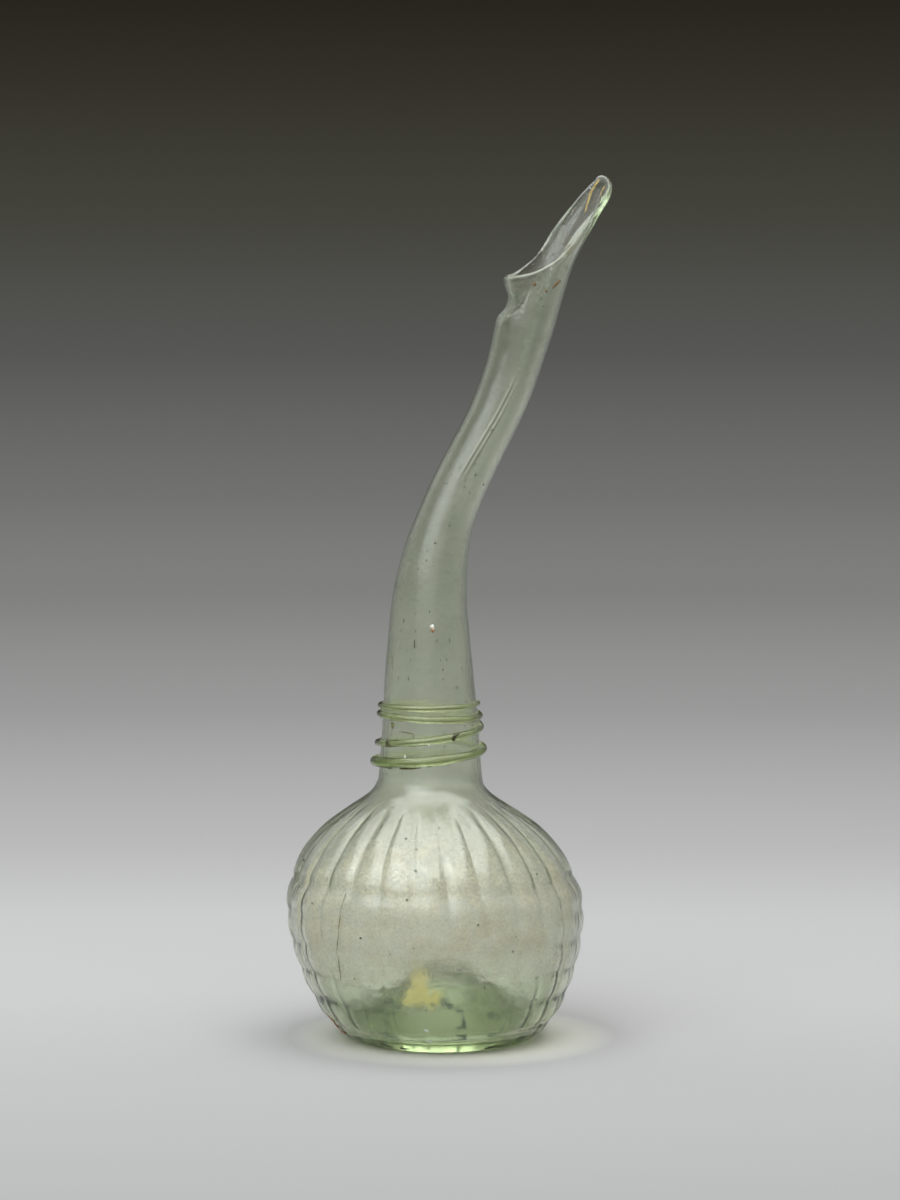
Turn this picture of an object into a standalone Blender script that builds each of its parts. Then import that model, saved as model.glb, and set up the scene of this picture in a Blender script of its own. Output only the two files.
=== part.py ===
"""Swan-neck bottle of pale green glass.

The vessel is one blown piece: a globular body with mould-blown ribs, a pushed-in base,
a long neck that bends twice, and an open mouth drawn out to a leaf. A glass trail is
wound round the foot of the neck. Sizes are in metres and +Z is up. The bottle stands on
z = 0, its neck bends in the XZ plane, and the tip of its mouth points to +X.

The vessel is made in three lengths, parted across the neck: the body with the straight
foot of the neck, the bend of the neck, and the mouth.
"""

import math

import bmesh
import bpy
from mathutils import Vector

# Body, measured on its outside
BODY_RADIUS = 0.0600
BODY_WIDEST_HEIGHT = 0.0533
SHOULDER_HEIGHT = 0.0958
SHOULDER_FULLNESS = 1.755
BELLY_FULLNESS = 1.76
FOOT_RADIUS = 0.0330
FOOT_RING_WIDTH = 0.0060
BODY_LEAN = math.radians(-3.1)

# Pushed-in base
KICK_HEIGHT = 0.0250
KICK_FULLNESS = 0.6
KICK_RINGS = 5

# Ribs round the body, in one tall tier on the shoulder and low tiers below it
RIB_COUNT = 26
RIB_TURN = math.radians(-6.9)
SHOULDER_RIB_DEPTH = 0.0013
BELLY_RIB_DEPTH = 0.0007
RIB_TOP_DROP = 0.0073
TIER_TOP_RISE = 0.0122
TIER_PITCH = 0.0116
TIER_DEPTH = 0.0006
TOP_TIER_DEPTH = 0.0012
TIER_EASE = 0.0029
BELLY_FLOOR_HEIGHT = 0.0025
POINTS_PER_RIB = 3
SHOULDER_RINGS = 3

# Neck: where it stands on the shoulder, the path of its centre, and its outer radius
NECK_RISE = 0.0012
NECK_SIDESTEP = 0.0006
NECK_FOOT_TILT = math.radians(-0.5)
LOWER_RUN = 0.070
LOWER_BEND_RUN = 0.062
LOWER_BEND = math.radians(29.0)
MIDDLE_RUN = 0.020
UPPER_BEND_RUN = 0.038
UPPER_BEND = math.radians(-12.5)
THROAT_RUN = 0.007
NECK_FOOT_RADIUS = 0.0216
NECK_FILLET = 0.0065
NECK_FILLET_FLARE = 0.0036
FILLET_SHARES = (0.0, 0.25, 0.60)
NECK_RING_STEP = 0.0115

# The neck's girth: share of its length, then share of the radius at its foot
NECK_GIRTH = (
    (0.000, 1.000),
    (0.130, 0.898),
    (0.285, 0.796),
    (0.420, 0.685),
    (0.505, 0.593),
    (0.590, 0.519),
    (0.760, 0.477),
    (0.900, 0.505),
    (1.000, 0.546),
)

# Pressed-in place under the lip
DENT_DEPTH = 0.0016
DENT_LENGTH = 0.0090

# Mouth, in shares of the throat's radius: the middle line of its rim is one curve from the lip to
# the tip, with a handle at each end, given ahead of the throat's centre and along its heading
LIP = (-1.15, 1.41)
LIP_HANDLE = (0.91, 2.26)
TIP_HANDLE = (0.45, 4.19)
TIP = (1.75, 5.55)
WIDE_HALF_SHARE = 1.03
NARROW_HALF_SHARE = 0.65
TIP_TWIST = math.radians(33.0)
LIP_SWEEP_SHARE = 0.35
TIP_SWEEP_SHARE = 0.50
MOUTH_RINGS = 7

# Shares of the way from lip to tip: the rounding of both ends, the narrowing and the twist
LIP_ROUNDING_SHARE = 0.20
TIP_ROUNDING_SHARE = 0.10
NARROWING = (0.26, 1.08)
TWISTING = (0.12, 0.92)

# Where the vessel is parted, as shares of the neck's length, and the gap at each place
NECK_PARTING_SHARE = 0.28
MOUTH_PARTING_SHARE = 0.76
PARTING_GAP = 0.0003

# Glass thickness
BASE_WALL = 0.0034
BODY_WALL = 0.0020
NECK_WALL = 0.0019
LIP_WALL = 0.0017

# Trail round the neck: half turns from the seam line, distance up the neck, thread radius
TRAIL_SEAM = math.radians(-20.0)
TRAIL_GAP = 0.0003
TRAIL_STATIONS = (
    (0.3, 0.0168, 0.0011),
    (0.6, 0.0154, 0.0016),
    (1.0, 0.0155, 0.0021),
    (2.0, 0.0202, 0.0017),
    (3.0, 0.0229, 0.0015),
    (4.0, 0.0291, 0.0015),
    (5.0, 0.0345, 0.0014),
    (6.0, 0.0334, 0.0014),
    (7.0, 0.0379, 0.0013),
    (8.0, 0.0385, 0.0010),
)
TRAIL_POINTS_PER_TURN = 18
TRAIL_BEVEL_RESOLUTION = 2

GLASS_COLOUR = (0.66, 0.74, 0.60, 1.0)
TRAIL_COLOUR = (0.56, 0.66, 0.36, 1.0)
GLASS_ROUGHNESS = 0.04
TRAIL_ROUGHNESS = 0.06
GLASS_IOR = 1.5

# Sizes that follow from those above
KICK_RADIUS = FOOT_RADIUS - FOOT_RING_WIDTH
RIB_TOP_HEIGHT = SHOULDER_HEIGHT - RIB_TOP_DROP
TIER_TOP_HEIGHT = BODY_WIDEST_HEIGHT + TIER_TOP_RISE
NECK_FOOT_HEIGHT = SHOULDER_HEIGHT + NECK_RISE
NECK_LENGTH = LOWER_RUN + LOWER_BEND_RUN + MIDDLE_RUN + UPPER_BEND_RUN + THROAT_RUN
THICKEST_WALL = max(BASE_WALL, BODY_WALL, NECK_WALL, LIP_WALL)
THICKNESS_GROUP = "thickness"


def clear_scene():
    """Remove every object the scene starts with."""
    for item in list(bpy.data.objects):
        bpy.data.objects.remove(item, do_unlink=True)


def glass_material(name, colour, roughness):
    """Return a see-through Principled material."""
    material = bpy.data.materials.new(name)
    material.use_nodes = True
    shader = material.node_tree.nodes["Principled BSDF"]
    shader.inputs["Base Color"].default_value = colour
    shader.inputs["Roughness"].default_value = roughness
    shader.inputs["Metallic"].default_value = 0.0
    shader.inputs["IOR"].default_value = GLASS_IOR
    shader.inputs["Transmission Weight"].default_value = 1.0
    material.diffuse_color = colour
    return material


def smooth_value(stations, place):
    """Return the value of a smooth curve through (place, value) stations."""
    places = [station[0] for station in stations]
    values = [station[1] for station in stations]
    slopes = []
    for index in range(len(stations)):
        before = max(index - 1, 0)
        after = min(index + 1, len(stations) - 1)
        slopes.append((values[after] - values[before]) / (places[after] - places[before]))
    place = min(max(place, places[0]), places[-1])
    index = 0
    while index < len(stations) - 2 and place > places[index + 1]:
        index += 1
    span = places[index + 1] - places[index]
    t = (place - places[index]) / span
    rise = values[index + 1] - values[index]
    eased = t * t * (3 - 2 * t)
    leave = t * (1 - t) ** 2 * span * slopes[index]
    arrive = t * t * (t - 1) * span * slopes[index + 1]
    return values[index] + rise * eased + leave + arrive


def blend(start, end, share):
    """Return the value between start and end, with share held to 0 and 1."""
    share = min(max(share, 0.0), 1.0)
    return start + (end - start) * share


def body_radius_at(height):
    """Return the radius of the body's plain outline, two superellipse quarters."""
    if height < BODY_WIDEST_HEIGHT:
        share = (BODY_WIDEST_HEIGHT - height) / BODY_WIDEST_HEIGHT
        inner = FOOT_RADIUS
        fullness = BELLY_FULLNESS
    else:
        share = (height - BODY_WIDEST_HEIGHT) / (SHOULDER_HEIGHT - BODY_WIDEST_HEIGHT)
        inner = NECK_FOOT_RADIUS
        fullness = SHOULDER_FULLNESS
    swell = (1.0 - share**fullness) ** (1.0 / fullness)
    return inner + (BODY_RADIUS - inner) * swell


def lean_at(height):
    """Return how far the body's centre stands off the foot's centre at a height."""
    return math.tan(BODY_LEAN) * height


def rib_depth_at(height):
    """Return how deep the valleys between ribs are at a height."""
    if height > TIER_TOP_HEIGHT:
        return SHOULDER_RIB_DEPTH
    return BELLY_RIB_DEPTH


def ring(centre, radius, points, rib_depth=0.0):
    """Return a level ring, with one valley a rib where rib_depth is given."""
    found = []
    for index in range(points):
        angle = RIB_TURN + 2 * math.pi * index / points
        valley = index % POINTS_PER_RIB == 0
        reach = radius - rib_depth if valley else radius
        found.append(centre + Vector((reach * math.cos(angle), reach * math.sin(angle), 0.0)))
    return found


def kick_rings():
    """Return the rings of the pushed-in base, from its crown to the foot."""
    rings = []
    for index in range(1, KICK_RINGS + 1):
        share = math.sin(0.5 * math.pi * index / KICK_RINGS)
        height = KICK_HEIGHT * (1.0 - share**2) ** KICK_FULLNESS
        rings.append(ring(Vector((0.0, 0.0, height)), KICK_RADIUS * share, RIB_COUNT))
    return rings


def tier_grooves():
    """Return the heights of the grooves between the low tiers, from the lowest up."""
    grooves = []
    groove = TIER_TOP_HEIGHT - TIER_PITCH
    while groove > BELLY_FLOOR_HEIGHT + TIER_EASE:
        grooves.insert(0, groove)
        groove -= TIER_PITCH
    return grooves


def body_rings():
    """Return the ribbed rings of the body, from the foot to the top of the ribs."""
    heights = [(0.0, 0.0), (BELLY_FLOOR_HEIGHT, 0.0)]
    for groove in tier_grooves():
        heights.append((groove, TIER_DEPTH))
        heights.append((groove + 0.5 * TIER_PITCH, 0.0))
    heights.append((TIER_TOP_HEIGHT, TOP_TIER_DEPTH))
    for index in range(SHOULDER_RINGS + 1):
        share = index / SHOULDER_RINGS
        height = blend(TIER_TOP_HEIGHT + TIER_EASE, RIB_TOP_HEIGHT, share)
        heights.append((height, 0.0))
    rings = []
    for height, groove_depth in heights:
        centre = Vector((lean_at(height), 0.0, height))
        radius = body_radius_at(height) - groove_depth
        rings.append(ring(centre, radius, RIB_COUNT * POINTS_PER_RIB, rib_depth_at(height)))
    return rings


def neck_place(distance):
    """Return the point and the tilt from +Z of the neck's centre line at a distance along it."""
    runs = (
        (LOWER_RUN, 0.0),
        (LOWER_BEND_RUN, LOWER_BEND),
        (MIDDLE_RUN, 0.0),
        (UPPER_BEND_RUN, UPPER_BEND),
        (THROAT_RUN, 0.0),
    )
    tilt = NECK_FOOT_TILT
    point = Vector((lean_at(NECK_FOOT_HEIGHT) + NECK_SIDESTEP, 0.0, NECK_FOOT_HEIGHT))
    for length, turn in runs:
        run = min(max(distance, 0.0), length)
        bent = turn * run / length
        chord = run
        if bent:
            chord = run * math.sin(0.5 * bent) / (0.5 * bent)
        heading = tilt + 0.5 * bent
        point = point + chord * Vector((math.sin(heading), 0.0, math.cos(heading)))
        tilt += bent
        distance -= length
    return point, tilt


def neck_radius(distance):
    """Return the neck's outer radius, with the fillet that joins it to the shoulder."""
    radius = NECK_FOOT_RADIUS * smooth_value(NECK_GIRTH, distance / NECK_LENGTH)
    if distance < NECK_FILLET:
        radius += NECK_FILLET_FLARE * (1.0 - distance / NECK_FILLET) ** 2
    return radius


def dent_at(distance, angle):
    """Return how far the neck's wall is pressed in, on the side under the lip."""
    along = (distance - NECK_LENGTH) / DENT_LENGTH
    facing = max(-math.cos(angle), 0.0)
    return DENT_DEPTH * math.exp(-along * along) * facing**2


def round_neck(distance, angle, reach):
    """Return the point at an angle and a reach from the neck's centre line."""
    centre, tilt = neck_place(distance)
    ahead = Vector((math.cos(tilt), 0.0, -math.sin(tilt)))
    sideways = Vector((0.0, 1.0, 0.0))
    return centre + reach * (math.cos(angle) * ahead + math.sin(angle) * sideways)


def neck_ring(distance):
    """Return the ring of the neck's outside at a distance along its centre line."""
    found = []
    for index in range(RIB_COUNT):
        angle = RIB_TURN * (1.0 - distance / NECK_LENGTH) + 2 * math.pi * index / RIB_COUNT
        reach = neck_radius(distance) - dent_at(distance, angle)
        found.append(round_neck(distance, angle, reach))
    return found


def neck_rings(start, end):
    """Return the neck's rings between two distances, both included."""
    count = max(round((end - start) / NECK_RING_STEP), 1)
    return [neck_ring(blend(start, end, index / count)) for index in range(count + 1)]


def fillet_rings():
    """Return the rings of the fillet at the foot of the neck."""
    return [neck_ring(share * NECK_FILLET) for share in FILLET_SHARES]


def ease(start, end, share):
    """Return how far share has gone from start to end, from 0 to 1, with soft ends."""
    t = blend(0.0, 1.0, (share - start) / (end - start))
    return t * t * (3 - 2 * t)


def rounded(share, length):
    """Return the half width, as a share, of a round end that is full after the given length."""
    left = 1.0 - min(share / length, 1.0)
    return math.sqrt(1.0 - left * left)


def rim_curve(share):
    """Return the rim's middle line, ahead and along, at a share of the way from lip to tip."""
    weights = (
        (1 - share) ** 3,
        3 * share * (1 - share) ** 2,
        3 * share**2 * (1 - share),
        share**3,
    )
    corners = (LIP, LIP_HANDLE, TIP_HANDLE, TIP)
    ahead = sum(weight * corner[0] for weight, corner in zip(weights, corners))
    along = sum(weight * corner[1] for weight, corner in zip(weights, corners))
    return ahead, along


def rim_point(turn, side):
    """Return the rim's point at a share of the half turn from lip to tip, on the +Y or -Y side."""
    share = 0.5 * (1.0 - math.cos(math.pi * turn))
    reach, rise = rim_curve(share)
    half_width = blend(WIDE_HALF_SHARE, NARROW_HALF_SHARE, ease(*NARROWING, share))
    half_width *= rounded(share, LIP_ROUNDING_SHARE) * rounded(1.0 - share, TIP_ROUNDING_SHARE)
    hang = half_width * math.tan(TIP_TWIST * ease(*TWISTING, share))
    throat, tilt = neck_place(NECK_LENGTH)
    ahead = Vector((math.cos(tilt), 0.0, -math.sin(tilt)))
    heading = Vector((math.sin(tilt), 0.0, math.cos(tilt)))
    sideways = Vector((0.0, side, 0.0))
    offset = reach * ahead + (rise + side * hang) * heading + half_width * sideways
    return throat + neck_radius(NECK_LENGTH) * offset


def mouth_rings():
    """Return the rings that sweep from the throat out to the rim."""
    tilt = neck_place(NECK_LENGTH)[1]
    heading = Vector((math.sin(tilt), 0.0, math.cos(tilt)))
    start = neck_ring(NECK_LENGTH)
    rings = []
    for step in range(1, MOUTH_RINGS + 1):
        t = step / MOUTH_RINGS
        row = []
        for index, first in enumerate(start):
            turn = abs(1.0 - 2.0 * index / RIB_COUNT)
            side = 1.0 if index < RIB_COUNT / 2 else -1.0
            last = rim_point(turn, side)
            sweep = blend(LIP_SWEEP_SHARE, TIP_SWEEP_SHARE, turn)
            bend = first + sweep * (last - first).length * heading
            row.append((1 - t) ** 2 * first + 2 * t * (1 - t) * bend + t * t * last)
        rings.append(row)
    return rings


def wall_at(height):
    """Return the glass thickness at a height."""
    if height < BODY_WIDEST_HEIGHT:
        return blend(BASE_WALL, BODY_WALL, height / BODY_WIDEST_HEIGHT)
    if height < NECK_FOOT_HEIGHT:
        share = (height - BODY_WIDEST_HEIGHT) / (NECK_FOOT_HEIGHT - BODY_WIDEST_HEIGHT)
        return blend(BODY_WALL, NECK_WALL, share)
    tip_height = rim_point(1.0, 1.0).z
    share = (height - NECK_FOOT_HEIGHT) / (tip_height - NECK_FOOT_HEIGHT)
    return blend(NECK_WALL, LIP_WALL, share)


def add_ring(mesh, points):
    """Add a closed ring of vertices with its edges, and return both."""
    verts = [mesh.verts.new(point) for point in points]
    edges = [mesh.edges.new((verts[i - 1], verts[i])) for i in range(len(verts))]
    return verts, edges


def join_rings(mesh, lower, upper):
    """Fill the band between two rings, where one may have several points for each of the other's."""
    if len(lower[0]) == len(upper[0]):
        bmesh.ops.bridge_loops(mesh, edges=lower[1] + upper[1])
        return
    fine, coarse = (lower[0], upper[0]) if len(lower[0]) > len(upper[0]) else (upper[0], lower[0])
    step = len(fine) // len(coarse)
    for index, corner in enumerate(coarse):
        following = coarse[(index + 1) % len(coarse)]
        first = index * step
        row = [fine[(first + offset) % len(fine)] for offset in range(step + 1)]
        middle = (step + 1) // 2
        for offset in range(step):
            apex = corner if offset < middle else following
            mesh.faces.new((row[offset], row[offset + 1], apex))
        mesh.faces.new((corner, row[middle], following))


def skin_of(rows, crown_height=None):
    """Return the outer surface through rows of points, closed by a crown where one is given."""
    mesh = bmesh.new()
    rings = [add_ring(mesh, row) for row in rows]
    if crown_height is not None:
        first = rings[0][0]
        made = bmesh.ops.create_vert(mesh, co=(0.0, 0.0, crown_height))
        crown = made["vert"][0]
        for index, vert in enumerate(first):
            mesh.faces.new((crown, vert, first[index - 1]))
    for lower, upper in zip(rings, rings[1:]):
        join_rings(mesh, lower, upper)
    bmesh.ops.recalc_face_normals(mesh, faces=mesh.faces)
    last_ring = rings[-1][0]
    centre = sum((vert.co for vert in last_ring), Vector()) / len(last_ring)
    face = last_ring[0].link_faces[0]
    if face.normal.dot(face.calc_center_median() - centre) < 0.0:
        bmesh.ops.reverse_faces(mesh, faces=mesh.faces)
    return mesh


def axis_offset():
    """Return where the foot's centre stands, so that the bottle's box is centred on the origin."""
    left = BODY_RADIUS - lean_at(BODY_WIDEST_HEIGHT)
    right = rim_point(1.0, 1.0).x
    return 0.5 * (left - right)


def add_object(name, data, collection, material):
    """Link a new object at the foot's centre and return it."""
    data.materials.append(material)
    made = bpy.data.objects.new(name, data)
    made.location = (axis_offset(), 0.0, 0.0)
    collection.objects.link(made)
    return made


def add_length(name, skin, collection, material):
    """Add one length of the vessel: its skin, given true walls by a Solidify modifier."""
    data = bpy.data.meshes.new(name)
    skin.to_mesh(data)
    skin.free()
    data.shade_smooth()
    made = add_object(name, data, collection, material)
    group = made.vertex_groups.new(name=THICKNESS_GROUP)
    for vert in data.vertices:
        group.add([vert.index], wall_at(vert.co.z) / THICKEST_WALL, "REPLACE")
    wall = made.modifiers.new("wall", "SOLIDIFY")
    wall.thickness = THICKEST_WALL
    wall.offset = -1.0
    wall.use_even_offset = True
    wall.use_quality_normals = True
    wall.vertex_group = THICKNESS_GROUP


def add_vessel(collection):
    """Add the vessel's three lengths, from the foot to the rim."""
    material = glass_material("vessel_glass", GLASS_COLOUR, GLASS_ROUGHNESS)
    half_gap = 0.5 * PARTING_GAP
    neck_start = NECK_PARTING_SHARE * NECK_LENGTH
    mouth_start = MOUTH_PARTING_SHARE * NECK_LENGTH
    foot = neck_rings(NECK_FILLET, neck_start - half_gap)
    body = kick_rings() + body_rings() + fillet_rings() + foot
    add_length("body", skin_of(body, KICK_HEIGHT), collection, material)
    bend = neck_rings(neck_start + half_gap, mouth_start - half_gap)
    add_length("neck", skin_of(bend), collection, material)
    mouth = neck_rings(mouth_start + half_gap, NECK_LENGTH) + mouth_rings()
    add_length("mouth", skin_of(mouth), collection, material)


def add_trail(collection):
    """Add the wound trail: a bevelled curve that keeps just clear of the neck."""
    distances = [(place, distance) for place, distance, radius in TRAIL_STATIONS]
    radii = [(place, radius) for place, distance, radius in TRAIL_STATIONS]
    start = distances[0][0]
    end = distances[-1][0]
    thickest = max(radius for place, radius in radii)
    count = round(0.5 * (end - start) * TRAIL_POINTS_PER_TURN) + 1
    chord_share = math.cos(math.pi / TRAIL_POINTS_PER_TURN)
    data = bpy.data.curves.new("neck_trail", "CURVE")
    data.dimensions = "3D"
    data.bevel_depth = thickest
    data.bevel_resolution = TRAIL_BEVEL_RESOLUTION
    data.use_fill_caps = True
    spline = data.splines.new("POLY")
    spline.points.add(count - 1)
    for index, point in enumerate(spline.points):
        place = blend(start, end, index / (count - 1))
        distance = smooth_value(distances, place)
        radius = smooth_value(radii, place)
        reach = (neck_radius(distance) + TRAIL_GAP + radius) / chord_share
        spot = round_neck(distance, TRAIL_SEAM + math.pi * place, reach)
        point.co = (spot.x, spot.y, spot.z, 1.0)
        point.radius = radius / thickest
    material = glass_material("trail_glass", TRAIL_COLOUR, TRAIL_ROUGHNESS)
    add_object("neck_trail", data, collection, material)


def main():
    """Build the bottle in its own collection."""
    clear_scene()
    collection = bpy.data.collections.new("swan_neck_bottle")
    bpy.context.scene.collection.children.link(collection)
    add_vessel(collection)
    add_trail(collection)


main()
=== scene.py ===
"""Looks of a swan-neck bottle of pale green blown glass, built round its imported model.

The bottle is two pieces of glass: the blown vessel, with its ribbed body, pushed-in base,
twice-bent neck and drawn-out mouth in one wall, and the thread wound on the foot of the
neck. Lengths are in metres, +Z is up, and the bottle stands on z = 0.
"""

from __future__ import annotations

import logging
import math
from dataclasses import dataclass, field
from enum import Enum

import bmesh
import bpy
import numpy as np
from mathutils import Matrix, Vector
from mathutils.bvhtree import BVHTree

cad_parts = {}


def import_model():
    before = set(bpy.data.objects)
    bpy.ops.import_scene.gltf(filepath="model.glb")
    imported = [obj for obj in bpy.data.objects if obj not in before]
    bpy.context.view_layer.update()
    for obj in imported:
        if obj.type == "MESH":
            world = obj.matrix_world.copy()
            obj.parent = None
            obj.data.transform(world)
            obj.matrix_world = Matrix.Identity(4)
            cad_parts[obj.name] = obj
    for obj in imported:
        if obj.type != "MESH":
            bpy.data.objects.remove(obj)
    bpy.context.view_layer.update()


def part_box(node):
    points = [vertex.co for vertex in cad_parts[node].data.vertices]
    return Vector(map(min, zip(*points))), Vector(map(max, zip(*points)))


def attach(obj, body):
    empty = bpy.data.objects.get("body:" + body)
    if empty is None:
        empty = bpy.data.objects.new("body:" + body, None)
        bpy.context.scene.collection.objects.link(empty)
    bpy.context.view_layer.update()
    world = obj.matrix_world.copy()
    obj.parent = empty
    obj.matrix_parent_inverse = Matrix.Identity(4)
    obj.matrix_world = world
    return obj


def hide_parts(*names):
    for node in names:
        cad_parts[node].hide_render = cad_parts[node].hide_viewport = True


LOG = logging.getLogger("bottle")
Array = np.ndarray
Colour = tuple[float, float, float]
Place = tuple[float, float, float]
Spot = tuple[float, float]
Span = tuple[float, float]
Socket = bpy.types.NodeSocket
WHITE = (1.0, 1.0, 1.0)
UP = (0.0, 0.0, 1.0)
BODY = "root"
WELD_DISTANCE = 1e-6
FLOOR_WELD = 1e-5
TINY = 1e-12
FULL_TURN = 2.0 * math.pi


class Layer(Enum):
    """The two sides of the vessel's wall."""

    OUTSIDE = "outside"
    INSIDE = "inside"


class Tone(Enum):
    """What a stain does: it colours the film, in the order of its attribute, or bares the glass; the
    dark tone serves both for dirt and for painted shade.
    """

    OCHRE = 0
    DARK_DIRT_AND_SHADE = 1
    YELLOW = 2
    BARE = 3


class Attribute(Enum):
    """The patterns that the pieces carry on their own vertices."""

    FLOW = "flow"
    STAINS_AND_SHADE = "stains"
    COVER = "cover"


def ease(start: float, end: float, value: Array | float) -> Array:
    """Return how far a value has gone from start to end, with soft ends.

    Args:
        start: The value that gives 0.
        end: The value that gives 1.
        value: One value or an array of them.

    Returns:
        Shares from 0 to 1.
    """
    share = np.clip((np.asarray(value, float) - start) / (end - start), 0.0, 1.0)
    return share * share * (3.0 - 2.0 * share)


def bump(centre: float, width: float, value: Array | float) -> Array:
    """Return a soft bump that is 1 at its centre and fades over about its width."""
    return np.exp(-(((np.asarray(value, float) - centre) / width) ** 2))


def off_angle(angles: Array, middle: float) -> Array:
    """Return how far angles are from a middle one, within half a turn either way."""
    return (angles - middle + math.pi) % FULL_TURN - math.pi


def smooth_value(stations: tuple[Span, ...], place: Array) -> Array:
    """Return the values of a smooth curve through stations.

    Args:
        stations: Pairs of a place and a value, in order of place.
        place: The places to read.

    Returns:
        One value for each place, held to the ends of the curve.
    """
    places, values = np.array(stations, float).T
    index = np.arange(len(places))
    before = np.maximum(index - 1, 0)
    after = np.minimum(index + 1, len(places) - 1)
    slopes = (values[after] - values[before]) / (places[after] - places[before])
    place = np.clip(place, places[0], places[-1])
    start = np.clip(np.searchsorted(places, place) - 1, 0, len(places) - 2)
    span = places[start + 1] - places[start]
    t = (place - places[start]) / span
    rise = (values[start + 1] - values[start]) * t * t * (3 - 2 * t)
    leave = t * (1 - t) ** 2 * span * slopes[start]
    arrive = t * t * (t - 1) * span * slopes[start + 1]
    return values[start] + rise + leave + arrive


def bezier(corners: list[Array], t: Array) -> Array:
    """Return points on a Bezier curve.

    Args:
        corners: Three or four corner points, each an array whose last axis is a place.
        t: Shares of the way along the curve, with an axis for each axis of the corners.

    Returns:
        One point for each share.
    """
    while len(corners) > 1:
        corners = [(1.0 - t) * here + t * after for here, after in zip(corners, corners[1:])]
    return corners[0]


@dataclass(frozen=True)
class Ripple:
    """A soft, seeded unevenness of hand-blown glass, made of crossed waves."""

    seed: int
    size: float
    depth: float = 1.0
    waves: int = 16
    evening: float = 0.6

    def at(self, points: Array) -> Array:
        """Return the unevenness, mostly within its depth either way, at points.

        Args:
            points: Places, their last axis holding X, Y and Z.

        Returns:
            One value for each point.
        """
        draw = np.random.default_rng(self.seed)
        ways = draw.normal(size=(self.waves, 3))
        ways /= np.linalg.norm(ways, axis=1, keepdims=True)
        pitch = FULL_TURN / (self.size * draw.uniform(0.7, 1.5, self.waves))
        phase = draw.uniform(0.0, FULL_TURN, self.waves)
        total = np.zeros(points.shape[:-1])
        for way, rate, start in zip(ways, pitch, phase):
            total += np.sin(points @ way * rate + start)
        return self.depth * self.evening * total / math.sqrt(0.5 * self.waves)


def rippled(ripples: tuple[Ripple, ...], points: Array) -> Array:
    """Return the sum of several ripples at points."""
    return sum(ripple.at(points) for ripple in ripples)


def finished_mesh(name: str, mesh: bmesh.types.BMesh) -> bpy.types.Mesh:
    """Turn a mesh's faces outward, make them smooth and return its data.

    Args:
        name: The name of the data.
        mesh: The mesh, which is freed.

    Returns:
        The data.
    """
    bmesh.ops.recalc_face_normals(mesh, faces=mesh.faces)
    data = bpy.data.meshes.new(name)
    mesh.to_mesh(data)
    mesh.free()
    data.shade_smooth()
    return data


def ringed_mesh(
    name: str, rings: Array, patterns: dict[Attribute, Array] | None = None
) -> bpy.types.Mesh:
    """Lay a grid over rings of points and weld it where the rings close.

    Args:
        name: The name of the data.
        rings: The rings in order, all with as many points.
        patterns: What the vertices carry, with the first column repeated after the last.

    Returns:
        The mesh's data.
    """
    rows, columns = rings.shape[:2]
    wrapped = np.concatenate([rings, rings[:, :1]], axis=1)
    mesh = bmesh.new()
    bmesh.ops.create_grid(mesh, x_segments=columns, y_segments=rows - 1, size=1.0)
    layers = []
    for attribute, values in (patterns or {}).items():
        kinds = mesh.verts.layers.float_vector if values.ndim == 3 else mesh.verts.layers.float
        layers.append((kinds.new(attribute.value), values))
    for vert in mesh.verts:
        column = round(0.5 * (vert.co.x + 1.0) * columns)
        row = round(0.5 * (vert.co.y + 1.0) * (rows - 1))
        vert.co = wrapped[row, column]
        for layer, values in layers:
            vert[layer] = values[row, column]
    bmesh.ops.remove_doubles(mesh, verts=mesh.verts, dist=WELD_DISTANCE)
    return finished_mesh(name, mesh)


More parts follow.
